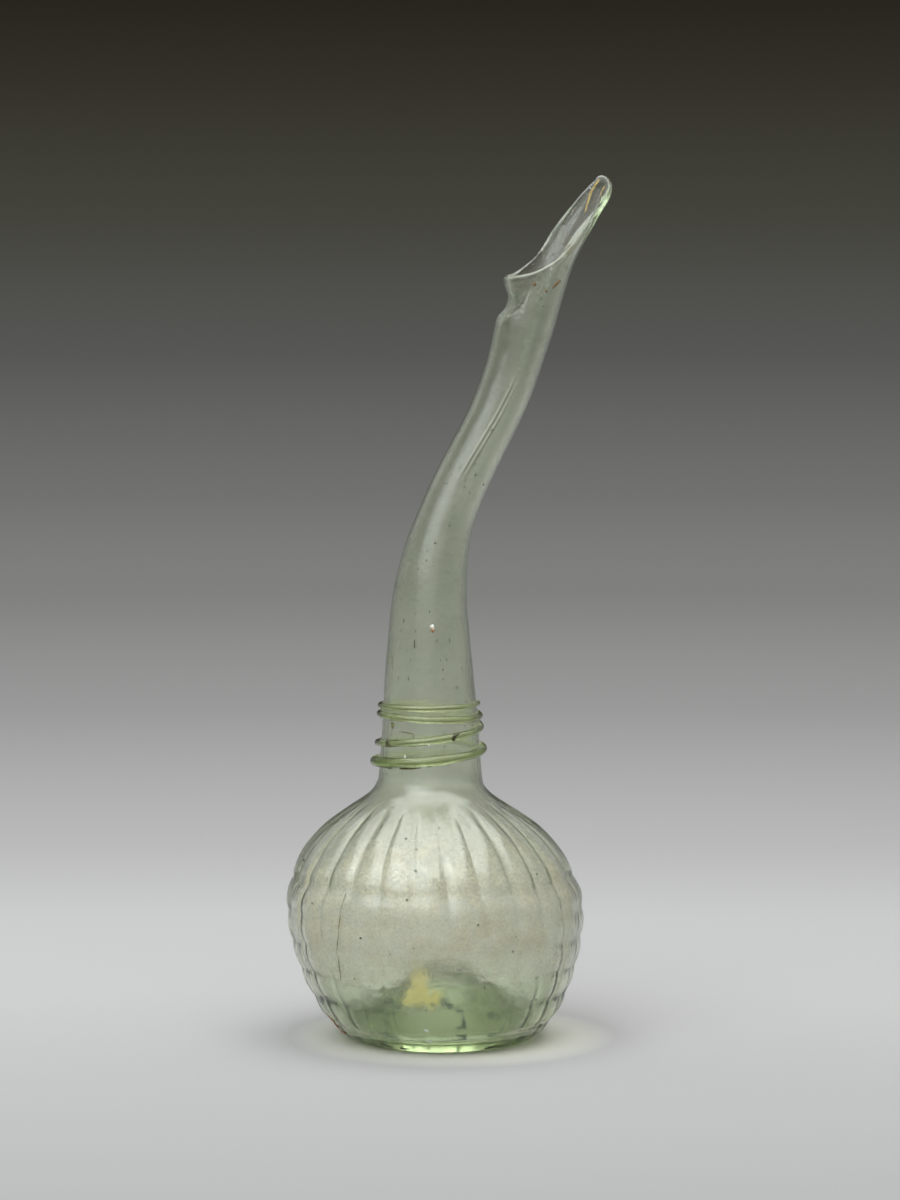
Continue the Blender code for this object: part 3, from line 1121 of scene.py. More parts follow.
    def inner_base_profile(self, belly_end: Array) -> Array:
        """Draw the inner side of the base.

        Args:
            belly_end: The lowest radius and height of the belly's inner side.

        Returns:
            Radii and heights through the trough, up the flank and over the crown.
        """
        top = self.body.kick_height + self.base_wall
        edge_radius, crown_radius = self.crown_radii
        start = belly_end + np.array([float(self.body.centre_at(belly_end[1])), 0.0])
        foot = self.trough[-1]
        edge = (edge_radius, top - self.crown_drop)
        stretches = (
            (start, *self.trough),
            (foot, *self.flank, edge),
            (edge, (crown_radius, top), (0.0, top)),
        )
        turns = np.linspace(0.0, 1.0, self.counts.inner_base + 1)[1:, None]
        curves = [bezier([np.array(corner) for corner in corners], turns) for corners in stretches]
        return np.concatenate(curves)

    def build(self, finish: GlassFinish) -> bpy.types.Object:
        """Make the vessel's mesh and dress it.

        Args:
            finish: The glass it is made of.

        Returns:
            The finished object.
        """
        rings = self.skin()
        turn = FULL_TURN * np.append(self.columns(), 1.0)
        steps = np.linalg.norm(np.diff(rings, axis=0), axis=2).mean(axis=1)
        length = np.concatenate([[0.0], np.cumsum(steps)])[:, None]
        flow = np.stack(np.broadcast_arrays(np.cos(turn), np.sin(turn), length), axis=-1)
        data = ringed_mesh("vessel", rings, {Attribute.FLOW: flow})
        return place_piece("vessel", data, finish.material())


@dataclass
class Weathering:
    """The thin, broken film of weathered glass and soil that clings inside the vessel, with one patch
    of painted shade under the lip.
    """

    vessel: Vessel
    stains: tuple[Stain, ...]
    lift: float = 0.00015
    rings_below_rim: int = 2
    base_worn: float = 0.85
    base_radii: Span = (0.030, 0.039)
    base_heights: Span = (0.035, 0.045)
    front_worn: float = 0.80
    front_reach: Span = (0.010, 0.040)
    front_heights: Span = (0.0285, 0.0335)
    bare_edge: float = 0.6
    broad_edge: Ripple = Ripple(61, 0.012, 0.0025)
    fine_edge: Ripple = Ripple(62, 0.004, 0.0015)
    facing: float = math.radians(-110.0)

    def build(self, finish: FilmFinish, sight: Sight) -> bpy.types.Object:
        """Make the film's mesh and dress it.

        Args:
            finish: What it looks like.
            sight: Where the camera sees the vessel's walls.

        Returns:
            The finished object.
        """
        rings = self.vessel.inside_rings()
        across = np.roll(rings, -1, axis=1) - np.roll(rings, 1, axis=1)
        normal = np.cross(across, np.gradient(rings, axis=0))
        normal /= np.maximum(np.linalg.norm(normal, axis=2, keepdims=True), TINY)
        film = (rings + self.lift * normal)[self.rings_below_rim : -1]
        film[..., 0] += self.vessel.axis_x
        wrapped = np.concatenate([film, film[:, :1]], axis=1)
        tones = np.zeros(wrapped.shape)
        cover = self.clinging(wrapped)
        for stain in self.stains:
            near = stain.field(sight, wrapped)
            if stain.tone is Tone.BARE:
                cover = cover * (1.0 - self.front_worn * ease(0.0, self.bare_edge, near))
            else:
                tone = stain.tone.value
                tones[..., tone] = np.maximum(tones[..., tone], near)
        patterns = {Attribute.STAINS_AND_SHADE: tones, Attribute.COVER: cover}
        data = ringed_mesh("weathering", film, patterns)
        return place_piece("weathering", data, finish.material())

    def clinging(self, film: Array) -> Array:
        """Return how much of the film is left, little on the pushed-in base and low in front.

        Args:
            film: Places on the film.

        Returns:
            One share for each place.
        """
        across, ahead, height = film[..., 0] - self.vessel.axis_x, film[..., 1], film[..., 2]
        radius = np.hypot(across, ahead)
        on_base = 1.0 - ease(*self.base_radii, radius)
        on_base = on_base * (1.0 - ease(*self.base_heights, height))
        toward = across * math.cos(self.facing) + ahead * math.sin(self.facing)
        front = ease(*self.front_reach, toward) * (1.0 - on_base)
        uneven = self.broad_edge.at(film) + self.fine_edge.at(film)
        low = front * (1.0 - ease(*self.front_heights, height + uneven))
        return (1.0 - self.base_worn * on_base) * (1.0 - self.front_worn * low)


@dataclass(frozen=True)
class Noise:
    """A noise pattern: features to a metre, how many finer layers, and their strength."""

    scale: float
    detail: float
    rough: float


@dataclass(frozen=True)
class FilmFinish:
    """A broken film, dense in clouds and bare between them, with stains and a patch of painted shade.
    """

    name: str
    light: Colour
    dull: Colour
    green: Colour
    stains: tuple[Colour, Colour, Colour]
    covers: tuple[Span, ...]
    clouds: Noise = Noise(70.0, 6.0, 0.68)
    grains: Noise = Noise(900.0, 3.0, 0.6)
    border: Noise = Noise(40.0, 3.0, 0.5)
    edges: Noise = Noise(420.0, 5.0, 0.7)
    dull_clouds: Span = (0.38, 0.62)
    thick_clouds: Span = (0.33, 0.68)
    cloud_cover: Span = (0.45, 1.0)
    thick_grains: Span = (0.35, 0.65)
    grain_cover: Span = (0.75, 1.20)
    noise_range: Span = (0.3, 0.7)
    border_sway: Span = (-0.0035, 0.0035)
    green_below: Span = (0.0250, 0.0180)
    stain_sway: Span = (-0.45, 0.45)
    stain_edge: Span = (0.40, 0.60)
    stain_fade: Span = (0.0, 0.1)
    stain_cover: Span = (0.0, 0.85)
    roughness: float = 0.9

    def material(self) -> bpy.types.Material:
        """Return the film as a node material.

        Returns:
            The material.
        """
        nodes = Nodes(self.name)
        clouds = nodes.noise(nodes.coords, self.clouds)
        grains = nodes.noise(nodes.coords, self.grains)
        colour = nodes.mix(nodes.scaled(clouds, self.dull_clouds), self.light, self.dull)
        border = nodes.noise(nodes.coords, self.border)
        sway = nodes.scaled(border, self.noise_range, self.border_sway)
        height = nodes.maths(Maths.ADD, nodes.height, sway)
        colour = nodes.mix(nodes.scaled(height, self.green_below), colour, self.green)
        stops = tuple((place, (cover, cover, cover)) for place, cover in self.covers)
        clinging = nodes.attribute(Attribute.COVER, "Fac")
        cover = nodes.maths(Maths.MULTIPLY, nodes.gradient(height, stops), clinging)
        thick = nodes.scaled(clouds, self.thick_clouds, self.cloud_cover)
        grainy = nodes.scaled(grains, self.thick_grains, self.grain_cover)
        share = nodes.maths(Maths.MULTIPLY, nodes.maths(Maths.MULTIPLY, thick, grainy), cover)
        tones = nodes.parts(nodes.attribute(Attribute.STAINS_AND_SHADE, "Vector"))
        edges = nodes.noise(nodes.coords, self.edges)
        ragged = nodes.scaled(edges, self.noise_range, self.stain_sway)
        for tone, stain in zip(tones, self.stains):
            near = nodes.scaled(nodes.maths(Maths.ADD, tone, ragged), self.stain_edge)
            inside = nodes.scaled(tone, self.stain_fade, self.stain_cover)
            there = nodes.maths(Maths.MULTIPLY, near, inside)
            colour = nodes.mix(there, colour, stain)
            share = nodes.maths(Maths.MAXIMUM, share, there)
        nodes.link(colour, nodes.shader.inputs["Base Color"])
        nodes.shader.inputs["Roughness"].default_value = self.roughness
        nodes.link(share, nodes.shader.inputs["Alpha"])
        return nodes.material


@dataclass(frozen=True)
class Scatter:
    """Grains strewn at random over a height of the vessel's inner side."""

    count: int
    low: float
    high: float
    smallest: float
    largest: float
    stretch: float = 1.0


@dataclass
class Flecks:
    """Small uneven grains on the glass, all of one colour."""

    name: str
    seed: int
    finish: DirtFinish
    flecks: tuple[Fleck, ...]
    scatters: tuple[Scatter, ...] = ()
    lump_size: float = 1.4
    lump_depth: float = 0.45
    scatter_flatness: float = 0.5
    shortest: float = 1e-5
    plain_way: tuple[float, float, float] = (0.02, 0.01, 1.0)

    def build(self, sight: Sight, vessel: Vessel) -> bpy.types.Object:
        """Make the grains' mesh and dress it.

        Args:
            sight: Where the camera sees the vessel's walls.
            vessel: The vessel that the strewn grains lie on.

        Returns:
            The finished object.
        """
        mesh = bmesh.new()
        for index, fleck in enumerate(self.flecks):
            start, normal = sight.surface(fleck.start, fleck.wall)
            end, _ = sight.surface(fleck.end, fleck.wall)
            depth = fleck.width * fleck.flatness
            self.add_grain(mesh, (start, end), normal, (fleck.width, depth), index)
        draw = np.random.default_rng(self.seed)
        rings = vessel.inside_rings()
        rings[..., 0] += vessel.axis_x
        height = rings[:-1, :, 2]
        for scatter in self.scatters:
            rows, columns = np.nonzero((height > scatter.low) & (height < scatter.high))
            for pick in draw.integers(0, len(rows), scatter.count):
                place = rings[rows[pick], columns[pick]]
                along = rings[rows[pick] + 1, columns[pick]] - place
                along /= max(float(np.linalg.norm(along)), TINY)
                size = draw.uniform(scatter.smallest, scatter.largest)
                _, normal, _, _ = sight.tree.find_nearest(Vector(place))
                half = 0.5 * size * (scatter.stretch - 1.0) * along
                ends = (place - half, place + half)
                depth = size * self.scatter_flatness
                self.add_grain(mesh, ends, np.array(normal), (size, depth), int(pick))
        data = finished_mesh(self.name, mesh)
        return place_piece(self.name, data, self.finish.material())

    def add_grain(
        self,
        mesh: bmesh.types.BMesh,
        ends: tuple[Array, Array],
        normal: Array,
        size: Span,
        turn: int,
    ) -> None:
        """Add one uneven grain.

        Args:
            mesh: Where it goes.
            ends: The two ends of its middle line.
            normal: The way out of the surface it lies on.
            size: Its width and its thickness.
            turn: What sets its unevenness apart from the others'.
        """
        start, end = ends
        width, depth = size
        line = end - start
        line = line - (line @ normal) * normal
        length = float(np.linalg.norm(line))
        if length < self.shortest:
            line = np.cross(normal, np.array(self.plain_way))
        line = line / np.linalg.norm(line)
        side = np.cross(normal, line)
        grain = bmesh.ops.create_icosphere(mesh, subdivisions=2, radius=1.0)["verts"]
        unit = np.array([vert.co for vert in grain])
        swell = 1.0 + Ripple(self.seed + turn, self.lump_size, self.lump_depth).at(unit)
        reach = 0.5 * np.array([length + width, width, depth])
        places = 0.5 * (start + end) + (unit * swell[:, None] * reach) @ np.stack([line, side, normal])
        for vert, place in zip(grain, places):
            vert.co = place


@dataclass(frozen=True)
class DirtFinish:
    """The finish of grains: dry dirt and opaque seeds, and also painted glints and painted contact
    shade, each of two uneven tones.
    """

    name: str
    first: Colour
    second: Colour
    roughness: float = 0.7
    grain: Noise = Noise(900.0, 4.0, 0.65)
    second_grain: Span = (0.35, 0.65)

    def material(self) -> bpy.types.Material:
        """Return the dirt as a node material.

        Returns:
            The material.
        """
        nodes = Nodes(self.name)
        share = nodes.scaled(nodes.noise(nodes.coords, self.grain), self.second_grain)
        nodes.link(nodes.mix(share, self.first, self.second), nodes.shader.inputs["Base Color"])
        nodes.shader.inputs["Roughness"].default_value = self.roughness
        return nodes.material


@dataclass
class NeckThread:
    """The thread of glass wound round the foot of the neck."""

    axis_x: float
    neck: NeckPath = field(default_factory=NeckPath)
    seam: float = math.radians(-20.0)
    sink: float = 0.22
    points_per_turn: int = 52
    section: int = 14
    cap_rings: int = 5
    unevenness: Ripple = Ripple(51, 0.010, 0.10)
    stations: tuple[tuple[float, float, float], ...] = (
        (0.3, 0.0168, 0.0011),
        (0.6, 0.0154, 0.0016),
        (1.0, 0.0155, 0.0021),
        (2.0, 0.0202, 0.0017),
        (3.0, 0.0229, 0.0015),
        (4.0, 0.0291, 0.0015),
        (5.0, 0.0345, 0.0014),
        (6.0, 0.0334, 0.0014),
        (7.0, 0.0379, 0.0013),
        (8.0, 0.0385, 0.0010),
    )

    def build(self, finish: GlassFinish) -> bpy.types.Object:
        """Make the thread's mesh and dress it.

        Args:
            finish: The glass it is made of.

        Returns:
            The finished object.
        """
        distances = tuple((place, distance) for place, distance, _ in self.stations)
        radii = tuple((place, radius) for place, _, radius in self.stations)
        start = self.stations[0][0]
        end = self.stations[-1][0]
        count = round(0.5 * (end - start) * self.points_per_turn) + 1
        places = np.linspace(start, end, count)
        distance = smooth_value(distances, places)
        radius = smooth_value(radii, places)
        reach = self.neck.radius(distance) + (1.0 - self.sink) * radius
        path = np.array([
            self.neck.ring(d, np.array([self.seam + math.pi * p]), np.array([r]))[0]
            for d, p, r in zip(distance, places, reach)
        ])
        path[:, 0] += self.axis_x
        data = ringed_mesh("thread", self.rings(path, radius))
        return place_piece("thread", data, finish.material())

    def rings(self, path: Array, radius: Array) -> Array:
        """Find the rings of the thread's section along its path, closed by round ends.

        Args:
            path: The points of the thread's middle line.
            radius: The thread's radius at each point.

        Returns:
            Rings of points from one tip to the other.
        """
        run = np.gradient(path, axis=0)
        run /= np.linalg.norm(run, axis=1, keepdims=True)
        centre = np.array([path[:, 0].mean(), 0.0, 0.0])
        out = path - centre
        out[:, 2] = 0.0
        out -= (out * run).sum(axis=1, keepdims=True) * run
        out /= np.linalg.norm(out, axis=1, keepdims=True)
        up = np.cross(run, out)
        rings = []
        angles = FULL_TURN * np.arange(self.section) / self.section
        uneven = 1.0 + self.unevenness.at(path)
        for index, centre_point in enumerate(path):
            size = radius[index] * uneven[index]
            around = np.cos(angles)[:, None] * out[index] + np.sin(angles)[:, None] * up[index]
            rings.append(centre_point + size * around)
        first = self.cap(path[0], rings[0], -run[0] * radius[0])
        last = self.cap(path[-1], rings[-1], run[-1] * radius[-1])
        return np.array(first[::-1] + rings + last)

    def cap(self, centre: Array, ring: Array, out: Array) -> list[Array]:
        """Round off one end of the thread.

        Args:
            centre: The last point of its middle line.
            ring: The last ring.
            out: The step from the last point to the tip.

        Returns:
            Rings from the end's edge to its tip.
        """
        rings = []
        for step in range(1, self.cap_rings + 1):
            angle = 0.5 * math.pi * step / self.cap_rings
            middle = centre + out * math.sin(angle)
            rings.append(middle + (ring - centre) * math.cos(angle))
        return rings


@dataclass(frozen=True)
class GlassFinish:
    """A see-through glass with weathering in its colour, gloss and surface."""

    name: str
    bands: tuple[tuple[float, Colour], ...]
    clouded: Colour
    cloud_share: float
    absorption: Colour
    density: float
    roughness: Span
    pitting: float
    lines: float
    seed_colour: Colour
    clear_below: float = -0.010
    clear_edge: float = 0.004
    clear_share: float = 0.25
    ior: float = 1.5
    clouds: Noise = Noise(70.0, 6.0, 0.66)
    thick_clouds: Span = (0.38, 0.66)
    grime: Noise = Noise(420.0, 4.0, 0.6)
    thick_grime: Span = (0.35, 0.75)
    seed_cells: float = 300.0
    seed_chance: Span = (0.72, 1.0)
    seed_sizes: Span = (0.0, 0.16)
    seed_edge: Span = (0.0, 0.05)
    drawn_out: Place = (26.0, 26.0, 60.0)
    drawn_lines: Noise = Noise(1.0, 3.0, 0.6)
    pits: Noise = Noise(620.0, 4.0, 0.6)

    def material(self) -> bpy.types.Material:
        """Return the glass as a node material.

        Returns:
            The material.
        """
        nodes = Nodes(self.name)
        shader = nodes.shader
        shader.inputs["IOR"].default_value = self.ior
        shader.inputs["Transmission Weight"].default_value = 1.0
        tint = nodes.gradient(nodes.height, self.bands)
        clouds = nodes.noise(nodes.coords, self.clouds)
        share = nodes.scaled(clouds, self.thick_clouds, (0.0, self.cloud_share))
        tint = nodes.mix(share, tint, self.clouded)
        tint = nodes.mix(self.seeds(nodes), tint, self.seed_colour)
        nodes.link(tint, shader.inputs["Base Color"])
        grime = nodes.noise(nodes.coords, self.grime)
        rough = nodes.scaled(grime, self.thick_grime, self.roughness)
        border = (self.clear_below - self.clear_edge, self.clear_below + self.clear_edge)
        weathered = nodes.scaled(nodes.height, border, (self.clear_share, 1.0))
        nodes.link(nodes.maths(Maths.MULTIPLY, rough, weathered), shader.inputs["Roughness"])
        nodes.link(self.surface(nodes), shader.inputs["Normal"])
        inside = nodes.add("ShaderNodeVolumeAbsorption")
        inside.inputs["Color"].default_value = (*self.absorption, 1.0)
        inside.inputs["Density"].default_value = self.density
        nodes.link(inside.outputs["Volume"], nodes.output.inputs["Volume"])
        return nodes.material

    def seeds(self, nodes: Nodes) -> Socket:
        """Scatter round specks of uneven size.

        Args:
            nodes: The material.

        Returns:
            1 inside a speck and 0 outside.
        """
        cells = nodes.add("ShaderNodeTexVoronoi")
        cells.inputs["Scale"].default_value = self.seed_cells
        nodes.link(nodes.coords, cells.inputs["Vector"])
        chance = nodes.add("ShaderNodeSeparateColor")
        nodes.link(cells.outputs["Color"], chance.inputs["Color"])
        reach = nodes.scaled(chance.outputs["Red"], self.seed_chance, self.seed_sizes)
        inside = nodes.maths(Maths.SUBTRACT, reach, cells.outputs["Distance"])
        return nodes.scaled(inside, self.seed_edge)

    def surface(self, nodes: Nodes) -> Socket:
        """Roughen the surface with the lines that blowing drew in it and with fine pits.

        Args:
            nodes: The material.

        Returns:
            The normal of the rough surface.
        """
        flow = nodes.attribute(Attribute.FLOW, "Vector")
        drawn = nodes.vector_maths(Maths.MULTIPLY, flow, self.drawn_out).outputs["Vector"]
        lines = nodes.noise(drawn, self.drawn_lines)
        pits = nodes.noise(nodes.coords, self.pits)
        smooth = nodes.bumped(lines, self.lines)
        return nodes.bumped(pits, self.pitting, smooth)


class Maths(Enum):
    """The sums that the node materials do."""

    ADD = "ADD"
    SUBTRACT = "SUBTRACT"
    MULTIPLY = "MULTIPLY"
    MAXIMUM = "MAXIMUM"
    DOT_PRODUCT = "DOT_PRODUCT"
    NORMALIZE = "NORMALIZE"
    LENGTH = "LENGTH"


class Blend(Enum):
    """The ways that two colours are mixed."""

    MIX = "MIX"
    MULTIPLY = "MULTIPLY"


class Nodes:
    """A small builder of node materials round one Principled shader."""

    def __init__(self, name: str) -> None:
        """Start a material with the given name and the places on its piece.

        Args:
            name: The name.
        """
        self.material = bpy.data.materials.new(name)
        self.material.use_nodes = True
        self.tree = self.material.node_tree
        self.shader = self.tree.nodes["Principled BSDF"]
        self.output = self.tree.nodes["Material Output"]
        self.coords = self.add("ShaderNodeTexCoord").outputs["Object"]
        self.height = self.parts(self.coords)[2]

    def add(self, kind: str) -> bpy.types.Node:
        """Add a node of a kind."""
        return self.tree.nodes.new(kind)

    def link(self, source: Socket, target: Socket) -> None:
        """Link two sockets."""
        self.tree.links.new(source, target)

    def parts(self, vector: Socket) -> list[Socket]:
        """Return the three parts of a vector.

        Args:
            vector: The vector.

        Returns:
            Its X, Y and Z.
        """
        node = self.add("ShaderNodeSeparateXYZ")
        self.link(vector, node.inputs["Vector"])
        return list(node.outputs)

    def attribute(self, kind: Attribute, output: str) -> Socket:
        """Return a pattern that the piece carries, as a number or as a vector.

        Args:
            kind: The pattern.
            output: Fac for a number and Vector for a vector.

        Returns:
            The pattern.
        """
        node = self.add("ShaderNodeAttribute")
        node.attribute_name = kind.value
        return node.outputs[output]

    def noise(self, coords: Socket, noise: Noise) -> Socket:
        """Return the value of a noise pattern.

        Args:
            coords: What the pattern reads.
            noise: The pattern.

        Returns:
            Its value.
        """
        node = self.add("ShaderNodeTexNoise")
        node.inputs["Scale"].default_value = noise.scale
        node.inputs["Detail"].default_value = noise.detail
        node.inputs["Roughness"].default_value = noise.rough
        self.link(coords, node.inputs["Vector"])
        return node.outputs["Fac"]

    def scaled(self, value: Socket, source: Span, result: Span = (0.0, 1.0)) -> Socket:
        """Map a value from one range to another, held to its ends.

        Args:
            value: The value to map.
            source: The values that give the ends of the result.
            result: The ends of the result.

        Returns:
            The mapped value.
        """
        node = self.add("ShaderNodeMapRange")
        names = ("From Min", "From Max", "To Min", "To Max")
        for name, number in zip(names, (*source, *result)):
            node.inputs[name].default_value = number
        self.link(value, node.inputs["Value"])
        return node.outputs["Result"]

    def maths(self, kind: Maths, first: Socket, second: Socket | float) -> Socket:
        """Return a sum of two values.

        Args:
            kind: The sum.
            first: The first value.
            second: The second value or a number.

        Returns:
            The result.
        """
        node = self.add("ShaderNodeMath")
        node.operation = kind.value
        self.link(first, node.inputs[0])
        if isinstance(second, float):
            node.inputs[1].default_value = second
        else:
            self.link(second, node.inputs[1])
        return node.outputs["Value"]

    def vector_maths(self, kind: Maths, first: Socket, second: Place = WHITE) -> bpy.types.Node:
        """Add a sum of vectors.

        Args:
            kind: The sum.
            first: The first vector.
            second: The second vector, where the sum has one.

        Returns:
            The node that gives the result.
        """
        node = self.add("ShaderNodeVectorMath")
        node.operation = kind.value
        node.inputs[1].default_value = second
        self.link(first, node.inputs[0])
        return node

    def bumped(self, pattern: Socket, depth: float, normal: Socket | None = None) -> Socket:
        """Turn a pattern into a bumpy surface.

        Args:
            pattern: The height of the bumps, from 0 to 1.
            depth: What a height of 1 is.
            normal: The surface's normal before, where it is bumpy already.

        Returns:
            The surface's normal.
        """
        node = self.add("ShaderNodeBump")
        node.inputs["Strength"].default_value = 1.0
        node.inputs["Distance"].default_value = depth
        self.link(pattern, node.inputs["Height"])
        if normal is not None:
            self.link(normal, node.inputs["Normal"])
        return node.outputs["Normal"]

    def gradient(self, value: Socket, stops: tuple[tuple[float, Colour], ...]) -> Socket:
        """Colour a value by stops.

        Args:
            value: The value to colour.
            stops: Pairs of a place and a colour, in order of place.

        Returns:
            The colour.
        """
        last = stops[-1][0]
        share = self.scaled(value, (0.0, last))
        node = self.add("ShaderNodeValToRGB")
        elements = node.color_ramp.elements
        while len(elements) < len(stops):
            elements.new(0.5)
        for element, (place, colour) in zip(elements, stops):
            element.position = place / last
            element.color = (*colour, 1.0)
        self.link(share, node.inputs["Fac"])
        return node.outputs["Color"]

    def mix(
        self,
        share: Socket | float,
        first: Colour | Socket,
        second: Colour | Socket,
        blend: Blend = Blend.MIX,
    ) -> Socket:
        """Mix two colours.

        Args:
            share: How much of the second colour there is.
            first: A colour or a socket that gives one.
            second: A colour or a socket that gives one.
            blend: How they are mixed.

        Returns:
            The mixed colour.
        """
        node = self.add("ShaderNodeMix")
        node.data_type = "RGBA"
        node.blend_type = blend.value
        if isinstance(share, float):
            node.inputs["Factor"].default_value = share
        else:
            self.link(share, node.inputs["Factor"])
        for name, colour in (("A", first), ("B", second)):
            socket = next(s for s in node.inputs if s.name == name and s.type == "RGBA")
            if isinstance(colour, tuple):
                socket.default_value = (*colour, 1.0)
            else:
                self.link(colour, socket)
        return next(s for s in node.outputs if s.type == "RGBA")


def place_piece(
    name: str, data: bpy.types.Mesh, material: bpy.types.Material
) -> bpy.types.Object:
    """Put a finished mesh into the scene as a piece of the bottle.

    Args:
        name: The piece's name.
        data: Its mesh, already in place.
        material: Its finish.

    Returns:
        The piece.
    """
    data.materials.append(material)
    piece = bpy.data.objects.new(name, data)
    bpy.context.scene.collection.objects.link(piece)
    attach(piece, BODY)
    LOG.info("%s: %d faces", name, len(data.polygons))
    return piece


def aim(piece: bpy.types.Object, place: Place, target: Place) -> None:
    """Put a camera or a light at a place, facing a target.

    Args:
        piece: The camera or the light.
        place: Where it stands.
        target: What it faces.
    """
    way = Vector(target) - Vector(place)
    piece.location = place
    piece.rotation_euler = way.to_track_quat("-Z", "Y").to_euler()
    bpy.context.scene.collection.objects.link(piece)


@dataclass(frozen=True)
class SoftLight:
    """A soft light that faces the bottle and stays out of the camera's sight."""

    name: str
    place: Place
    width: float
    depth: float
    power: float
    colour: Colour
    target: Place = (0.0, 0.0, 0.15)

    def build(self) -> None:
        """Hang the light."""
        data = bpy.data.lights.new(self.name, "AREA")
        data.shape = "RECTANGLE"
        data.size = self.width
        data.size_y = self.depth
        data.energy = self.power
        data.color = self.colour
        light = bpy.data.objects.new(self.name, data)
        light.visible_camera = False
        aim(light, self.place, self.target)


@dataclass(frozen=True)
class Paper:
    """Pale paper painted with light and shade: its tone changes away from the camera, and behind the
    bottle it darkens softly up the wall, as painted light fall-off; elsewhere the wall is painted
    lighter at the sides and darker towards the camera, and a painted glow of light through the glass
    lies round the bottle's foot.
    """

    away: Place = (0.342, 0.940, 0.0)
    nearest: float = -0.60
    # Painted light fall-off: the floor's tone by distance away from the camera.
    floor_tones: tuple[tuple[float, Colour], ...] = (
        (0.30, (0.288, 0.288, 0.288)),
        (0.55, (0.342, 0.342, 0.342)),
        (0.70, (0.382, 0.382, 0.382)),
        (0.89, (0.382, 0.382, 0.382)),
        (1.12, (0.330, 0.328, 0.327)),
        (1.79, (0.256, 0.256, 0.254)),
        (3.00, (0.250, 0.250, 0.243)),
    )
    # Painted shade: the wall behind the bottle darkens upwards.
    wall_tones: tuple[tuple[float, Colour], ...] = (
        (0.00, (1.00, 1.00, 1.00)),
        (0.07, (0.74, 0.74, 0.73)),
        (0.21, (0.42, 0.42, 0.41)),
        (0.36, (0.255, 0.25, 0.207)),
        (0.52, (0.142, 0.130, 0.096)),
        (0.62, (0.088, 0.074, 0.050)),
    )
    behind: Span = (0.90, 0.975)
    beside: Span = (-0.75, -0.25)
    raised: Span = (0.03, 0.20)
    # Painted shade on the wall towards the camera, painted light on the wall at the sides.
    painted_front_shade: Colour = (0.75, 0.75, 0.75)
    painted_side_light: Colour = (1.4, 1.4, 1.4)
    # A painted glow of light through the glass, pale and yellowish, on the floor round the bottle's
    # foot.
    painted_glow_reach: Span = (0.066, 0.028)
    painted_glow_tone: Colour = (0.84, 0.84, 0.73)
    roughness: float = 0.9
    gloss: float = 0.1

    def material(self) -> bpy.types.Material:
        """Return the paper as a node material.

        Returns:
            The material.
        """
        nodes = Nodes("floor_paper")
        flat = nodes.vector_maths(Maths.MULTIPLY, nodes.coords, (1.0, 1.0, 0.0)).outputs["Vector"]
        far = nodes.vector_maths(Maths.DOT_PRODUCT, flat, self.away).outputs["Value"]
        # Painted light fall-off along the floor, and painted shade up the wall behind the bottle.
        floor = nodes.gradient(nodes.maths(Maths.ADD, far, -self.nearest), self.floor_tones)
        wall = nodes.gradient(nodes.height, self.wall_tones)
        heading = nodes.vector_maths(Maths.NORMALIZE, flat).outputs["Vector"]
        ahead = nodes.vector_maths(Maths.DOT_PRODUCT, heading, self.away).outputs["Value"]
        # Painted shade on the wall towards the camera and painted light at its sides.
        edge = nodes.mix(nodes.scaled(ahead, self.beside), self.painted_front_shade, self.painted_side_light)
        side = nodes.mix(nodes.scaled(nodes.height, self.raised), WHITE, edge)
        wall = nodes.mix(nodes.scaled(ahead, self.behind), side, wall)
        toned = nodes.mix(1.0, floor, wall, Blend.MULTIPLY)
        # Painted glow of light through the glass on the floor round the foot.
        reach = nodes.vector_maths(Maths.LENGTH, nodes.coords).outputs["Value"]
        under = nodes.scaled(reach, self.painted_glow_reach)
        nodes.link(nodes.mix(under, toned, self.painted_glow_tone), nodes.shader.inputs["Base Color"])
        nodes.shader.inputs["Roughness"].default_value = self.roughness
        nodes.shader.inputs["Specular IOR Level"].default_value = self.gloss
        return nodes.material


